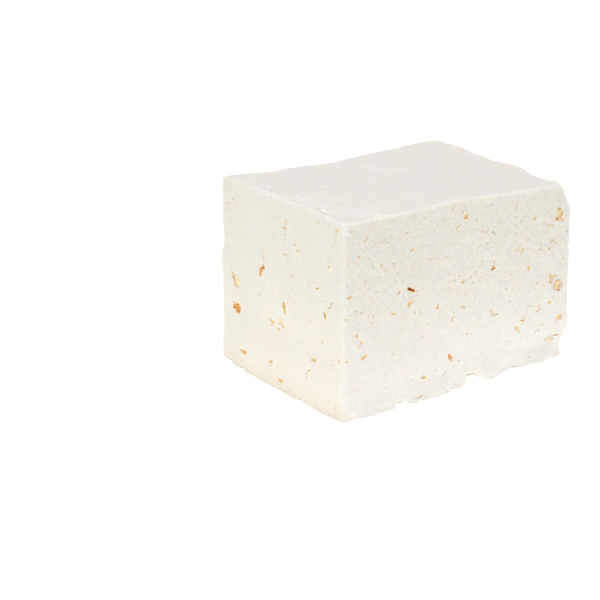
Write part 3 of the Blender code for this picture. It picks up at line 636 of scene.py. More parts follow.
def push(item, places, line, grip, reach, move):
    """Pull the points near a line, and the skin around them, by a smooth falloff."""
    bpy.ops.mesh.select_all(action="DESELECT")
    shape = bmesh.from_edit_mesh(item.data)
    for vert, place in zip(shape.verts, places):
        if distance_to_line(place, *line) < grip:
            vert.select_set(True)
    bmesh.update_edit_mesh(item.data)
    bpy.ops.transform.translate(
        value=move, use_proportional_edit=True,
        proportional_edit_falloff="SMOOTH", proportional_size=reach)


def slump(item, form):
    """Bend the true box to the block's slumped and worn shape."""
    shape = bmesh.from_edit_mesh(item.data)
    places = [vert.co.copy() for vert in shape.verts]
    for edge, start, end, reach, move in PUSHES:
        first, last = edge if isinstance(edge, tuple) else (edge, edge)
        grip = form.worn_edge * PUSH_GRIP
        line = edge_point(first, start), edge_point(last, end)
        push(item, places, line, grip, reach * MM, Vector(move) * MM)


def smear_top(item):
    """Raise and press the faint ridges smeared over the top."""
    shape = bmesh.from_edit_mesh(item.data)
    places = [Vector((vert.co.x, vert.co.y, 0)) for vert in shape.verts]
    for vert, place in zip(shape.verts, places):
        if vert.co.z < TOP_FROM * HEIGHT * MM:
            place.z = FAR
    for points, half_width, rise, _ in SMEARS:
        for here, there in zip(points, points[1:]):
            start, end = (true_point((*point, 0)) for point in (here, there))
            if rise:
                reach = SMEAR_REACH * half_width * MM
                push(item, places, (start, end), SMEAR_GRIP, reach, (0, 0, rise * MM))


def add_box(form):
    """The block's cage: a rounded box, sliced, slumped and smoothed."""
    bpy.ops.object.select_all(action="DESELECT")
    bpy.ops.mesh.primitive_cube_add(size=1.0, location=true_point((0, 0, HEIGHT / 2)))
    item = bpy.context.active_object
    item.name = "block_of_curd"
    item.data.name = item.name
    bpy.ops.transform.resize(value=(2 * HALF_LENGTH * MM, 2 * HALF_DEPTH * MM, HEIGHT * MM))
    bpy.ops.object.transform_apply(location=True, rotation=True, scale=True)
    bpy.ops.object.mode_set(mode="EDIT")
    round_box(item, form)
    slice_box(form)
    slump(item, form)
    bpy.ops.object.mode_set(mode="OBJECT")
    apply_modifier(item, "smooth", "SUBSURF", levels=1, render_levels=1)
    bpy.ops.object.mode_set(mode="EDIT")
    smear_top(item)
    bpy.ops.object.mode_set(mode="OBJECT")
    return item


def add_stamps(name, count, fineness, uneven):
    """Uneven lumps of about unit radius, the patterns for eyes, burrs and crumbs."""
    stamps = []
    for number in range(count):
        bpy.ops.object.select_all(action="DESELECT")
        bpy.ops.mesh.primitive_ico_sphere_add(subdivisions=fineness, radius=1.0)
        item = bpy.context.active_object
        item.name = f"{name}_{number}"
        bpy.ops.object.mode_set(mode="EDIT")
        bpy.ops.mesh.select_all(action="SELECT")
        bpy.ops.transform.vertex_random(
            offset=uneven, uniform=0.0, normal=STAMP_BULGE, seed=number)
        bpy.ops.object.mode_set(mode="OBJECT")
        stamps.append(item)
    return stamps


def join_copies(name, stamps, placings):
    """One object of copies of the stamps, each at its own placing."""
    bpy.ops.object.select_all(action="DESELECT")
    for number, placing in enumerate(placings):
        stamp = stamps[number % len(stamps)]
        item = stamp.copy()
        item.data = stamp.data.copy()
        item.data.transform(placing)
        bpy.context.scene.collection.objects.link(item)
        item.select_set(True)
    bpy.context.view_layer.objects.active = item
    item.name = name
    if len(placings) > 1:
        bpy.ops.object.join()
    return item


def remove(*items):
    """Take away helper objects."""
    for item in items:
        bpy.data.objects.remove(item, do_unlink=True)


def sort_apart(placings):
    """Sort placings into lists in which none touches another."""
    lists = []
    for placing, reach in placings:
        place = placing.translation
        for others in lists:
            if all((place - other[1]).length > reach + other[2] for other in others):
                others.append((placing, place, reach))
                break
        else:
            lists.append([(placing, place, reach)])
    return [[entry[0] for entry in others] for others in lists]


def carve(item, name, stamps, placings, operation="DIFFERENCE"):
    """Take copies of the stamps out of the block, or join them to it."""
    for number, apart in enumerate(sort_apart(placings)):
        cutter = join_copies(f"{name}_{number}", stamps, apart)
        apply_modifier(
            item, "carve", "BOOLEAN", operation=operation, solver="MANIFOLD", object=cutter)
        remove(cutter)
    remove(*stamps)


def add_shards():
    """Rough cornered lumps, the patterns for what breaks off the block."""
    shards = []
    for number in range(SHARDS):
        bpy.ops.object.select_all(action="DESELECT")
        bpy.ops.mesh.primitive_cube_add(size=2.0)
        item = bpy.context.active_object
        item.name = f"shard_{number}"
        bpy.ops.object.mode_set(mode="EDIT")
        bpy.ops.mesh.select_all(action="SELECT")
        bpy.ops.mesh.bevel(offset=SHARD_CORNER, segments=1, affect="EDGES")
        bpy.ops.mesh.select_all(action="SELECT")
        bpy.ops.mesh.subdivide(number_cuts=1)
        bpy.ops.transform.vertex_random(
            offset=SHARD_UNEVEN, uniform=0.0, normal=0.0, seed=number + SHARD_SEED)
        bpy.ops.object.mode_set(mode="OBJECT")
        shards.append(item)
    return shards


def half_span(side):
    """Half the width of a side of the true box, in millimetres."""
    return HALF_DEPTH if side in ("cut", "end") else HALF_LENGTH


def mostly_small(rng, least, more):
    """Draw a size from the least to that much more, small ones oftener."""
    return least + more * rng.random() ** 2


def drawn_chips(skin, rng):
    """Draw the small pieces broken out along the foot of each side."""
    placings = []
    for side, count in CRUMBLED.items():
        along = half_span(side) - CRUMBLE_MARGIN
        for _ in range(count):
            size = mostly_small(rng, *CRUMBLE_SIZE)
            wide, tall, deep = (size * rng.uniform(*limits) for limits in CRUMBLE_SHAPE)
            right = rng.uniform(-along, along)
            up = rng.uniform(*CRUMBLE_UP)
            place = side_frame(skin, side, right, up, rng.uniform(*CRUMBLE_TURN))
            scale = Matrix.Diagonal((wide * MM, tall * MM, deep * MM, 1))
            placings.append((place @ scale, max(wide, tall, deep) * MM * CHIP_REACH))
    return placings


def chip_foot(item):
    """Break the pieces out of the foot and corners."""
    placings = []
    for middle, half_sizes, lean in CHIPS:
        turn = Matrix.Rotation(math.radians(lean), 3, "Y").to_quaternion()
        placing = Matrix.LocRotScale(true_point(middle), turn, Vector(half_sizes) * MM)
        placings.append((placing, max(half_sizes) * MM * CHIP_REACH))
    placings += drawn_chips(skin_tree(item), random.Random(CHIP_SEED))
    carve(item, "chips", add_shards(), placings)


def weigh(item, name, values):
    """Give the block a vertex group with these values from 0 to 1."""
    steps = np.round(np.clip(values, 0.0, 1.0) * WEIGHT_STEPS).astype(int)
    group = item.vertex_groups.new(name=name)
    for step in range(1, WEIGHT_STEPS + 1):
        group.add(np.flatnonzero(steps == step).tolist(), step / WEIGHT_STEPS, "REPLACE")


def read_points(mesh, name):
    """The places or normals of a mesh's points as rows of numbers."""
    values = np.empty(len(mesh.vertices) * 3)
    mesh.vertices.foreach_get(name, values)
    return values.reshape(-1, 3)


def facing(parts):
    """How much of a side the skin belongs to, by the part of its normal that faces it."""
    return (parts - FACING) / FACING_SPAN


def weigh_sides(item):
    """Give each side of the block a vertex group that fades out at its edges."""
    normals = read_points(item.data, "normal")
    heights = read_points(item.data, "co")[:, 2] / MM
    pressed = np.maximum(np.abs(normals[:, 1]), normals[:, 0])
    above_foot = np.clip(heights - FLOOR_GAP, 0.0, 1.0)
    weigh(item, "pressed", facing(pressed) * above_foot)
    weigh(item, "cut", facing(-normals[:, 0]) * above_foot)
    weigh(item, "top", facing(normals[:, 2]))
    edges = 1.0 - np.abs(normals).max(axis=1)
    weigh(item, "edges", edges / EDGE_SPAN * above_foot)
    upper = np.clip((heights - COARSE_FROM) / COARSE_SPAN, 0.0, 1.0)
    weigh(item, "coarse", facing(pressed) * upper)
    foot = (FOOT_TOP - heights) / FOOT_SPAN * above_foot
    weigh(item, "foot", foot * (normals[:, 2] > UNDERSIDE))


def add_relief(item, form):
    """Stand the skin out by the waves, lumps and grain of the curd."""
    textures = {}
    for name, (size, depth) in TEXTURES.items():
        textures[name] = bpy.data.textures.new(name, "CLOUDS")
        textures[name].noise_scale = size * MM
        textures[name].noise_depth = depth
    for part, name, share, size in RELIEF:
        apply_modifier(
            item, f"{part}_{name}", "DISPLACE", texture=textures[name], texture_coords="LOCAL",
            strength=getattr(form, size) * share, mid_level=0.5, vertex_group=part,
            direction="NORMAL")


def side_frame(skin, side, right, up, turn):
    """Axes at a place on a side: to the right, upward and out of the cheese."""
    middle, across, upward = (Vector(item) for item in SIDES[side])
    outward = across.cross(upward)
    start = true_point(middle + across * right + upward * up) + outward * LOOK_FROM * MM
    place = skin.ray_cast(start, -outward)[0]
    axes = Matrix((across, upward, outward)).transposed().to_4x4()
    return Matrix.Translation(place) @ axes @ Matrix.Rotation(math.radians(turn), 4, "Z")


def lump_placing(skin, rng, side, lump):
    """Placing and reach of the stamp that opens one lump of an eye."""
    right, up, width, tall, deep, turn = lump
    place = side_frame(skin, side, right, up, turn)
    scale = Matrix.Diagonal((width / 2 * MM, tall / 2 * MM, deep * MM, 1))
    spin = Matrix.Rotation(rng.uniform(0, math.tau), 4, (rng.random(), rng.random(), 1))
    return place @ scale @ spin, max(width / 2, tall / 2, deep) * MM * LUMP_REACH


def seeded_eye(rng, side):
    """Draw one larger eye for a side out of sight."""
    across = half_span(side)
    right = rng.uniform(EYE_MARGIN - across, across - EYE_MARGIN)
    up = rng.uniform(EYE_MARGIN, HEIGHT - EYE_MARGIN)
    least, greatest = EYE_WIDTH
    width = mostly_small(rng, least, greatest - least)
    tall = width * rng.uniform(*EYE_TALL)
    deep = width * rng.uniform(*EYE_DEEP)
    return (right, up, width, tall, deep, rng.uniform(-EYE_TURN, EYE_TURN))


def clear_of(eye, others):
    """Whether an eye keeps clear of those already on its side."""
    for other in others:
        apart = math.hypot(eye[0] - other[0], eye[1] - other[1])
        if apart < (max(eye[2:4]) + max(other[2:4])) / 2 + EYE_GAP:
            return False
    return True


def seeded_eyes():
    """Larger eyes spread over each side out of sight, none touching."""
    rng = random.Random(EYE_SEED)
    sides = {}
    for side, count in SEEDED_EYES.items():
        eyes = []
        while len(eyes) < count:
            eye = seeded_eye(rng, side)
            if clear_of(eye, eyes):
                eyes.append(eye)
        sides[side] = eyes
    return sides


def draw_eye(rng, side, fine):
    """Draw a torn eye, as lumps side by side, or a fine pit for a side."""
    across = half_span(side)
    right = rng.uniform(DRAWN_MARGIN - across, across - DRAWN_MARGIN)
    height = rng.uniform(DRAWN_MARGIN, HEIGHT - DRAWN_TOP_MARGIN)
    width = mostly_small(rng, *PIT_WIDTH)
    if not fine:
        width = mostly_small(rng, *TORN_WIDTH)
    lumps = []
    for _ in range(1 if fine else rng.choice(LUMP_COUNTS)):
        tall = width * rng.uniform(*LUMP_TALL)
        deep = width * rng.uniform(*(PIT_DEEP if fine else TORN_DEEP))
        lumps.append((right, height, width, tall, deep, rng.uniform(*ANY_TURN)))
        right += width * rng.uniform(*NEXT_SHIFT)
        height += width * rng.uniform(*NEXT_SHIFT)
        width *= rng.uniform(*NEXT_WIDTH)
    return lumps


def torn_lump(rng, lump):
    """A smaller lump that tears one side of an eye."""
    right, up, width, tall, deep, _ = lump
    right += width * rng.uniform(*TEAR_SHIFT)
    up += tall * rng.uniform(*TEAR_SHIFT)
    tall *= rng.uniform(*TEAR_TALL)
    return (right, up, width * TEAR_WIDTH, tall, deep * TEAR_DEEP, rng.uniform(*ANY_TURN))


def all_lumps(rng):
    """Every lump that opens the eyes and pits, each with its side."""
    seeded = seeded_eyes()
    placed = {"front": FRONT_EYES, "cut": CUT_EYES, "top": TOP_EYES, **seeded}
    lumps = [(side, lump) for side, eyes in placed.items() for lump in eyes]
    for side, eyes in seeded.items():
        lumps += [(side, torn_lump(rng, lump)) for lump in eyes]
    for side, (eyes, pits) in DRAWN_SIDES.items():
        for number in range(eyes + pits):
            lumps += [(side, lump) for lump in draw_eye(rng, side, number >= eyes)]
    return lumps


def open_eyes(item, skin):
    """Open the eyes and pits in the block."""
    rng = random.Random(DRAW_SEED)
    large, small = [], []
    for side, lump in all_lumps(rng):
        placed = lump_placing(skin, rng, side, lump)
        (large if max(lump[2], lump[3]) > LARGE_EYE else small).append(placed)
    sizes = (("large", FINE_STAMP, large), ("small", PLAIN_STAMP, small))
    for name, fineness, placings in sizes:
        stamps = add_stamps(name, EYE_STAMPS, fineness, EYE_UNEVEN)
        carve(item, f"{name}_eyes", stamps, placings)


def dome_placings(block, domes, rng):
    """Placings and reaches of lumps half sunk in the block's top."""
    top = skin_tree(block)
    placings = []
    for across, along, width, height in domes:
        start = true_point((across, along, HEIGHT + DOME_LOOK_FROM))
        place = top.ray_cast(start, Vector((0, 0, -1)))[0] - Vector((0, 0, DOME_SUNK))
        half_sizes = Vector([width / 2 * rng.uniform(*DOME_VARIES) * MM for _ in range(3)])
        half_sizes.z = DOME_TALL * height * MM
        turn = Matrix.Rotation(rng.uniform(0, math.tau), 3, "Z").to_quaternion()
        placing = Matrix.LocRotScale(place, turn, half_sizes)
        placings.append((placing, LUMP_REACH * max(half_sizes)))
    return placings


def raise_burrs(item):
    """Join the torn burrs to the top."""
    placings = dome_placings(item, BURRS, random.Random(BURR_SEED))
    stamps = add_stamps("burr", DOME_STAMPS, FINE_STAMP, BURR_UNEVEN)
    carve(item, "burrs", stamps, placings, "UNION")


def thin_out(item, most):
    """Thin the block's mesh to this many triangles."""
    triangles = sum(len(face.vertices) - 2 for face in item.data.polygons)
    if triangles > most:
        apply_modifier(item, "thin", "DECIMATE", ratio=most / triangles)


def skin_tree(item):
    """A search tree of an object's faces as they are now."""
    mesh = item.data
    places = [vert.co.copy() for vert in mesh.vertices]
    return BVHTree.FromPolygons(places, [tuple(face.vertices) for face in mesh.polygons])


def soften(values, edges, rounds):
    """Let each point's value bleed into its neighbours."""
    first, second = edges[:, 0], edges[:, 1]
    count = np.bincount(edges.ravel(), minlength=len(values))
    for _ in range(rounds):
        total = np.bincount(first, values[second], len(values))
        total += np.bincount(second, values[first], len(values))
        values = (1 - BLEED) * values + BLEED * total / np.maximum(count, 1)
    return values


def smear_tones(places):
    """The smears' tone at these places of the top, in metres."""
    tones = np.zeros(len(places))
    for points, half_width, _, tone in SMEARS:
        nearest = np.full(len(places), FAR)
        for here, there in zip(points, points[1:]):
            start, end = (np.array(true_point((*point, 0)))[:2] for point in (here, there))
            along = end - start
            share = np.clip((places - start) @ along / (along @ along), 0.0, 1.0)
            away = np.linalg.norm(places - start - share[:, None] * along, axis=1)
            nearest = np.minimum(nearest, away)
        tones += tone * np.exp(-(nearest / (half_width * MM)) ** 2)
    return tones


def mark_curd(item, smooth, skin):
    """Store what the finish follows: depth in an eye, and closeness to cut, top and edge."""
    values = {"eye_depth": [], "cut_side": [], "top_side": [], "edge_band": []}
    raised = []
    for vert in item.data.vertices:
        place, outward, _, depth = skin.find_nearest(vert.co)
        outside = (vert.co - place).dot(outward) > 0.0
        normal = smooth.find_nearest(vert.co)[1]
        raised.append(depth if outside else 0.0)
        values["eye_depth"].append(0.0 if outside else depth / MM)
        values["cut_side"].append(min(max(-normal.x, 0.0), 1.0))
        values["top_side"].append(min(max(normal.z, 0.0), 1.0))
        values["edge_band"].append(1.0 - max(abs(part) for part in normal))
    places = read_points(item.data, "co")[:, :2]
    smear = smear_tones(places) * (np.array(values["top_side"]) > SMEARED_FROM)
    burr = np.clip(np.array(raised) / BURR_HEIGHT, 0.0, 1.0)
    values["smear"] = np.where(burr > BURR_SHARE, np.maximum(smear, burr), smear)
    edges = np.array([edge.vertices[:] for edge in item.data.edges])
    for name, column in values.items():
        rounds = EDGE_SOFTENING if name == "edge_band" else SOFTENING
        attribute = item.data.attributes.new(name, "FLOAT", "POINT")
        attribute.data.foreach_set("value", soften(np.array(column), edges, rounds))


def dress(item, finish_name, crease):
    """Shade a piece smooth between its creases and give it the curd's finish."""
    select_only(item)
    bpy.ops.object.shade_smooth_by_angle(angle=crease)
    item.data.materials.clear()
    item.data.materials.append(curd_material(bpy.context.scene.cheese_finish, finish_name))


def flatten_foot(item):
    """Stand the block on the plane of the floor."""
    for vert in item.data.vertices:
        vert.co.z = max(vert.co.z, 0.0)


class CHEESE_OT_add_block(bpy.types.Operator):
    """Add the block of curd with its slumped form, pressed sides and open eyes"""
    bl_idname = "cheese.add_block"
    bl_label = "Block of curd"

    def execute(self, context):
        form = context.scene.cheese_form
        item = add_box(form)
        chip_foot(item)
        apply_modifier(item, "grain", "REMESH", mode="VOXEL", voxel_size=form.grain)
        smooth = skin_tree(item)
        weigh_sides(item)
        add_relief(item, form)
        skin = skin_tree(item)
        open_eyes(item, skin)
        raise_burrs(item)
        thin_out(item, form.most_triangles)
        flatten_foot(item)
        mark_curd(item, smooth, skin)
        dress(item, "curd_finish", BLOCK_CREASE)
        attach(item, BODY)
        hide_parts(NODE)
        return {"FINISHED"}


def drawn_crumbs(rng):
    """Draw small crumbs near the cut."""
    crumbs = []
    for _ in range(DRAWN_CRUMBS):
        across = mostly_small(rng, CRUMBS_FROM, CRUMBS_SPREAD)
        size = mostly_small(rng, *CRUMB_WIDTH)
        crumbs.append((across, rng.uniform(*CRUMBS_ALONG), size, size * CRUMB_TALL))
    return crumbs


class CHEESE_OT_add_crumbs(bpy.types.Operator):
    """Add the loose crumbs that lie on the block's top"""
    bl_idname = "cheese.add_crumbs"
    bl_label = "Crumbs"

    def execute(self, context):
        block = bpy.data.objects.get("block_of_curd")
        if block is None:
            raise RuntimeError("Add the block of curd first")
        stamps = add_stamps("crumb", DOME_STAMPS, PLAIN_STAMP, CRUMB_UNEVEN)
        rng = random.Random(CRUMB_SEED)
        placings = dome_placings(block, list(CRUMBS) + drawn_crumbs(rng), rng)
        item = join_copies("crumbs", stamps, [placing for placing, _ in placings])
        remove(*stamps)
        item.data.name = item.name
        for name, value in CRUMB_MARKS.items():
            attribute = item.data.attributes.new(name, "FLOAT", "POINT")
            attribute.data.foreach_set("value", [value] * len(item.data.vertices))
        dress(item, "crumb_finish", CRUMB_CREASE)
        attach(item, BODY)
        return {"FINISHED"}


def feed(tree, socket, value):
    """Join a socket to another, or set it to a value."""
    if isinstance(value, bpy.types.NodeSocket):
        tree.links.new(value, socket)
    else:
        socket.default_value = value


def mix_colors(tree, factor, first, second, blend="MIX"):
    """Mix two colours by a factor. A mix node has its colours at sockets 6, 7 and 2."""
    node = tree.nodes.new("ShaderNodeMix")
    node.data_type = "RGBA"
    node.blend_type = blend
    for number, value in ((0, factor), (6, first), (7, second)):
        feed(tree, node.inputs[number], value)
    return node.outputs[2]


def ramp(tree, name, value, to_low=0.0, to_high=1.0):
    """Bring a value along one of the ramps, smoothly and without overshoot."""
    node = tree.nodes.new("ShaderNodeMapRange")
    node.interpolation_type = "SMOOTHSTEP"
    feed(tree, node.inputs["Value"], value)
    limits = RAMPS[name] if len(RAMPS[name]) > 2 else (*RAMPS[name], to_low, to_high)
    for socket, limit in zip(("From Min", "From Max", "To Min", "To Max"), limits):
        node.inputs[socket].default_value = limit
    return node.outputs["Result"]


def calculate(tree, operation, value, *others):
    """Add values up, or join them by another operation, from left to right."""
    for other in others:
        node = tree.nodes.new("ShaderNodeMath")
        node.operation = operation
        feed(tree, node.inputs[0], value)
        feed(tree, node.inputs[1], other)
        value = node.outputs[0]
    return value


def new_group(name, inputs, outputs):
    """An empty shader node group with named sockets, its inlets and its outlets."""
    group = bpy.data.node_groups.new(name, "ShaderNodeTree")
    for in_out, sockets in (("INPUT", inputs), ("OUTPUT", outputs)):
        for socket, kind in sockets.items():
            group.interface.new_socket(socket, in_out=in_out, socket_type=f"NodeSocket{kind}")
    inlet = group.nodes.new("NodeGroupInput")
    return group, inlet.outputs, group.nodes.new("NodeGroupOutput").inputs


def mottle_group():
    """Uneven tone and height of curd: broad clouds, lumps, beads, grains and flakes."""
    outputs = dict.fromkeys(("Tone", "Bead", "Grain", "Flake", "Height"), "Float")
    group, inlets, outlets = new_group("curd mottle", {"Vector": "Vector"}, outputs)
    slanted = group.nodes.new("ShaderNodeMapping")
    slanted.vector_type = "TEXTURE"
    slanted.inputs["Rotation"].default_value = (0.0, FLAKE_LEAN, 0.0)
    slanted.inputs["Scale"].default_value = (FLAKE_LENGTH, 1.0, 1.0)
    feed(group, slanted.inputs["Vector"], inlets["Vector"])
    noises = {}
    for name, (scale, detail) in MOTTLE.items():
        node = group.nodes.new("ShaderNodeTexNoise")
        node.inputs["Scale"].default_value = scale
        node.inputs["Detail"].default_value = detail
        vector = slanted.outputs["Vector"] if name == "flake" else inlets["Vector"]
        feed(group, node.inputs["Vector"], vector)
        noises[name] = node.outputs["Fac"]
    noises["tone"] = calculate(group, "ADD", noises["cloud"], noises["lump"])
    for name in ("tone", "bead", "grain", "flake"):
        feed(group, outlets[name.title()], ramp(group, name, noises[name]))
    grains = calculate(group, "MULTIPLY", noises["grain"], GRAIN_HEIGHT)
    flakes = calculate(group, "MULTIPLY", noises["flake"], FLAKE_HEIGHT)
    feed(group, outlets["Height"], calculate(group, "ADD", noises["bead"], grains, flakes))
    return group


def eye_shade_group():
    """Painted shade on the walls of an eye: golden, amber, then dark brown with its depth in millimetres.
    """
    inputs = dict.fromkeys(("Curd", "Gold", "Amber", "Deep"), "Color")
    group, inlets, outlets = new_group("eye tint", {**inputs, "Depth": "Float"}, {"Color": "Color"})
    color = inlets["Curd"]
    for name in ("Gold", "Amber", "Deep"):
        share = ramp(group, name.lower(), inlets["Depth"])
        color = mix_colors(group, share, color, inlets[name])
    feed(group, outlets["Color"], color)
    return group


def glow_group():
    """Light that shines up through a table: strong in the middle, faint further out."""
    group, inlets, outlets = new_group("table glow", {"Vector": "Vector"}, {"Color": "Color"})
    reach = group.nodes.new("ShaderNodeVectorMath")
    reach.operation = "LENGTH"
    feed(group, reach.inputs[0], inlets["Vector"])
    share = ramp(group, "glow", reach.outputs["Value"])
    feed(group, outlets["Color"], mix_colors(group, share, GLOW_MIDDLE, GLOW_ROUND))
    return group


def place_group(tree, group):
    """Place a node group in a material."""
    node = tree.nodes.new("ShaderNodeGroup")
    node.node_tree = group
    return node


def opaque(color):
    """A colour with full alpha."""
    return (*color, 1.0)


def curd_material(finish, name):
    """Moist white curd: creamier where it is fresh cut, with painted golden to brown shade inside the
    eyes.
    """
    material = bpy.data.materials.new(name)
    material.use_nodes = True
    tree = material.node_tree
    shader = tree.nodes["Principled BSDF"].inputs
    places = tree.nodes.new("ShaderNodeTexCoord").outputs["Object"]
    marks = {}
    for mark in CRUMB_MARKS:
        node = tree.nodes.new("ShaderNodeAttribute")
        node.attribute_name = mark
        marks[mark] = node.outputs["Fac"]
    mottle = place_group(tree, GROUPS["mottle"])
    feed(tree, mottle.inputs["Vector"], places)
    axes = tree.nodes.new("ShaderNodeSeparateXYZ")
    feed(tree, axes.inputs["Vector"], places)
    coarse = coarse_mask(tree, axes.outputs["Z"], marks)
    eye = place_group(tree, GROUPS["eye"])
    curd = tint_sides(tree, finish, marks, mottle.outputs, coarse, axes.outputs)
    feed(tree, eye.inputs["Curd"], curd)
    feed(tree, eye.inputs["Depth"], marks["eye_depth"])
    # the painted eye shade, veiled a little on the pressed sides
    veil = mix_colors(tree, ramp(tree, "cut", marks["cut_side"]), PRESSED_VEIL, WHITE)
    for wall in ("gold", "amber", "deep"):
        color = mix_colors(tree, 1.0, opaque(getattr(finish, f"{wall}_color")), veil, "MULTIPLY")
        feed(tree, eye.inputs[wall.title()], color)
    feed(tree, shader["Base Color"], eye.outputs["Color"])
    least, most = (finish.roughness + spread for spread in ROUGHNESS_SPREAD)
    roughness = ramp(tree, "roughness", mottle.outputs["Tone"], least, most)
    feed(tree, shader["Roughness"], roughness)
    bump = tree.nodes.new("ShaderNodeBump")
    bump.inputs["Strength"].default_value = BUMP_STRENGTH
    bump.inputs["Distance"].default_value = BUMP_HEIGHT
    height = calculate(tree, "MULTIPLY", mottle.outputs["Height"], coarse)
    feed(tree, bump.inputs["Height"], height)
    feed(tree, shader["Normal"], bump.outputs["Normal"])
    shader["Subsurface Radius"].default_value = SCATTER_COLOR
    shader["Subsurface Scale"].default_value = SCATTER_REACH
    feed(tree, shader["Subsurface Weight"], ramp(tree, "scatter", marks["smear"]))
    return material


def coarse_mask(tree, height, marks):
    """How coarse the curd is: most at the upper part of the pressed sides."""
    smooth_side = calculate(tree, "MAXIMUM", marks["cut_side"], marks["top_side"])
    share = ramp(tree, "smooth side", smooth_side)
    return calculate(tree, "MULTIPLY", ramp(tree, "coarse", height), share)


def tint_sides(tree, finish, marks, mottle, coarse, place):
    """Colour of the curd outside the eyes, with the light and shade that are painted on it: bounce light
    low on the sides, shade in the fine pits and flakes, a highlight along the edges and shade at the foot.
    """

    def along(name, value):
        return ramp(tree, name, value)

    def times(*values):
        return calculate(tree, "MULTIPLY", *values)

    def tint(share, color, second):
        return mix_colors(tree, share, color, second, "MULTIPLY")

    height = place["Z"]
    # painted bounce light: paler towards the foot of the pressed sides and of the cut
    low = times(along("low", height), along("away from end", place["X"]))
    curd = mix_colors(tree, low, opaque(finish.side_color), opaque(finish.bounce_lit_foot_color))
    low = times(along("low on cut", height), along("near side", place["Y"]))
    fresh = mix_colors(tree, low, opaque(finish.cut_color), opaque(finish.bounce_lit_low_cut_color))
    cut = along("cut", marks["cut_side"])
    curd = mix_colors(tree, cut, curd, fresh)
    top = along("top", marks["top_side"])
    curd = mix_colors(tree, top, curd, opaque(finish.top_color))
    curd = tint(along("shade", mottle["Tone"]), curd, SHADE)
    # painted shade in the fine pits and flakes of the coarse curd
    curd = tint(times(mottle["Grain"], coarse, GRAIN_SHARE), curd, GRAIN_SHADE)
    curd = tint(times(mottle["Flake"], coarse, FLAKE_SHARE), curd, FLAKE_SHADE)
    curd = mix_colors(tree, along("wet", marks["smear"]), curd, opaque(finish.wet_color))
    # painted highlight along the edges: ragged, left off the foot and fading towards the back
    edge = times(
        along("edge", marks["edge_band"]), along("over foot", height),
        along("near edge", place["Y"]), along("ragged", mottle["Bead"]))
    knife = along("knife", marks["cut_side"])
    pale = mix_colors(tree, knife, opaque(finish.pressed_edge_highlight_color), opaque(finish.cut_edge_highlight_color))
    curd = mix_colors(tree, edge, curd, pale)
    curd = mix_colors(tree, along("raised", marks["smear"]), curd, opaque(finish.cream_color))
    # painted yellow-brown shade low on the cut, over its foot
    curd = tint(times(cut, along("shade_at_cut_foot", height)), curd, CUT_FOOT_SHADE)
    # painted contact shade along the very foot, where the block stands on the floor
    return tint(along("contact_shade", height), curd, FOOT_CONTACT_SHADE)


class CHEESE_OT_add_stage(bpy.types.Operator):
    """Add the pale floor, the soft lights and the camera"""
    bl_idname = "cheese.add_stage"
    bl_label = "Studio"

    def execute(self, context):
        studio = context.scene.cheese_studio
        add_floor(studio)
        add_lights(context.scene, studio)
        add_camera(context.scene, studio)
        return {"FINISHED"}


def add_floor(studio):
    """A wide plain floor."""
    bpy.ops.object.select_all(action="DESELECT")
    bpy.ops.mesh.primitive_plane_add(size=studio.floor_size, location=(0, 0, 0))
    floor = bpy.context.active_object
    floor.name = "floor"
    floor.data.materials.append(floor_material())


def floor_material():
    """Matt white paper with a faint cloud in it."""
    material = bpy.data.materials.new("floor_paper")
    material.use_nodes = True
    tree = material.node_tree
    shader = tree.nodes["Principled BSDF"].inputs
    places = tree.nodes.new("ShaderNodeTexCoord").outputs["Object"]
    mottle = place_group(tree, GROUPS["mottle"])
    feed(tree, mottle.inputs["Vector"], places)
    cloud = ramp(tree, "paper", mottle.outputs["Tone"])
    feed(tree, shader["Base Color"], mix_colors(tree, cloud, PAPER, PAPER_CLOUD))
    glow = place_group(tree, GROUPS["glow"])
    feed(tree, glow.inputs["Vector"], places)
    feed(tree, shader["Emission Color"], glow.outputs["Color"])
    shader["Emission Strength"].default_value = 1.0
    shader["Roughness"].default_value = PAPER_ROUGHNESS
    shader["Specular IOR Level"].default_value = PAPER_SHINE
    return material


def direction(azimuth, elevation):
    """Unit vector from the block towards a place round it."""
    return Vector((
        math.sin(azimuth) * math.cos(elevation),
        -math.cos(azimuth) * math.cos(elevation),
        math.sin(elevation)))


def add_area_light(name, azimuth, elevation, distance, size, power):
    """A square soft white light that looks at the block."""
    light = bpy.data.lights.new(name, "AREA")
    light.energy = power
    light.size = size
    item = bpy.data.objects.new(name, light)
    way = direction(math.radians(azimuth), math.radians(elevation))
    item.location = way * distance
    item.rotation_euler = way.to_track_quat("Z", "Y").to_euler()
    bpy.context.scene.collection.objects.link(item)


def add_lights(scene, studio):
    """White light from all round, a soft key from the left and a wide light overhead."""
    world = bpy.data.worlds.new("studio")
    world.use_nodes = True
    sky = world.node_tree.nodes["Background"]
    sky.inputs["Color"].default_value = WHITE
    sky.inputs["Strength"].default_value = studio.sky
    scene.world = world
    for name, placing in LIGHTS.items():
        add_area_light(name, *placing, getattr(studio, name))


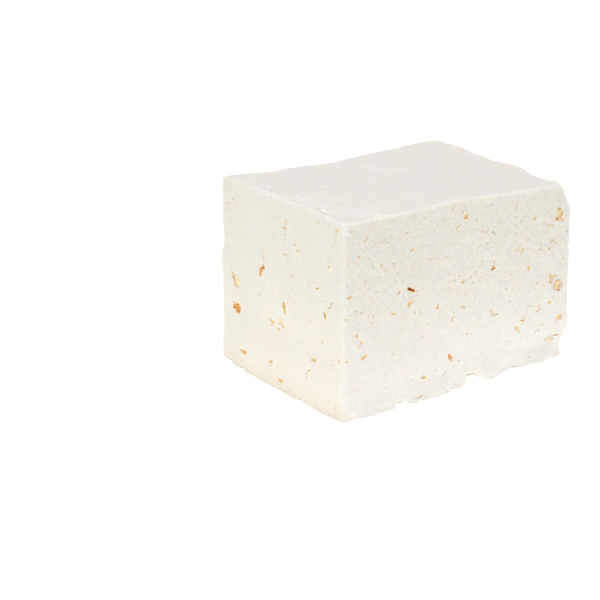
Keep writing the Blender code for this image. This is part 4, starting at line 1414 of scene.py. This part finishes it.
def add_camera(scene, studio):
    """The camera, at the photograph's place."""
    camera = bpy.data.cameras.new("camera")
    camera.lens = studio.lens
    camera.sensor_width = SENSOR_WIDTH
    camera.clip_start = NEAREST_SEEN
    item = bpy.data.objects.new("camera", camera)
    way = direction(studio.camera_azimuth, studio.camera_elevation)
    item.location = Vector(studio.camera_aim) + way * studio.camera_distance
    item.rotation_euler = way.to_track_quat("Z", "Y").to_euler()
    scene.collection.objects.link(item)
    scene.camera = item
    scene.view_settings.view_transform = "Standard"


class CHEESE_PT_panel(bpy.types.Panel):
    """Lists the pieces that can be added"""
    bl_idname = "CHEESE_PT_panel"
    bl_label = "Brined cheese"
    bl_space_type = "VIEW_3D"
    bl_region_type = "UI"
    bl_category = "Cheese"

    def draw(self, context):
        scene = context.scene
        for settings in (scene.cheese_form, scene.cheese_finish, scene.cheese_studio):
            for name in settings.bl_rna.properties.keys():
                if name not in ("rna_type", "name"):
                    self.layout.prop(settings, name)
        for name in ("cheese.add_block", "cheese.add_crumbs", "cheese.add_stage"):
            self.layout.operator(name)


CLASSES = (
    CheeseForm, CheeseFinish, CheeseStudio,
    CHEESE_OT_add_block, CHEESE_OT_add_crumbs, CHEESE_OT_add_stage, CHEESE_PT_panel,
)
# Node groups that the materials share, made once when the add-on is registered
GROUPS = {}


def register():
    for cls in CLASSES:
        bpy.utils.register_class(cls)
    bpy.types.Scene.cheese_form = bpy.props.PointerProperty(type=CheeseForm)
    bpy.types.Scene.cheese_finish = bpy.props.PointerProperty(type=CheeseFinish)
    bpy.types.Scene.cheese_studio = bpy.props.PointerProperty(type=CheeseStudio)
    GROUPS["mottle"] = mottle_group()
    GROUPS["eye"] = eye_shade_group()
    GROUPS["glow"] = glow_group()


def unregister():
    for name in ("cheese_form", "cheese_finish", "cheese_studio"):
        delattr(bpy.types.Scene, name)
    for cls in reversed(CLASSES):
        bpy.utils.unregister_class(cls)


def main():
    register()
    bpy.ops.cheese.add_block()
    bpy.ops.cheese.add_crumbs()
    bpy.ops.cheese.add_stage()


if __name__ == "__main__":
    main()
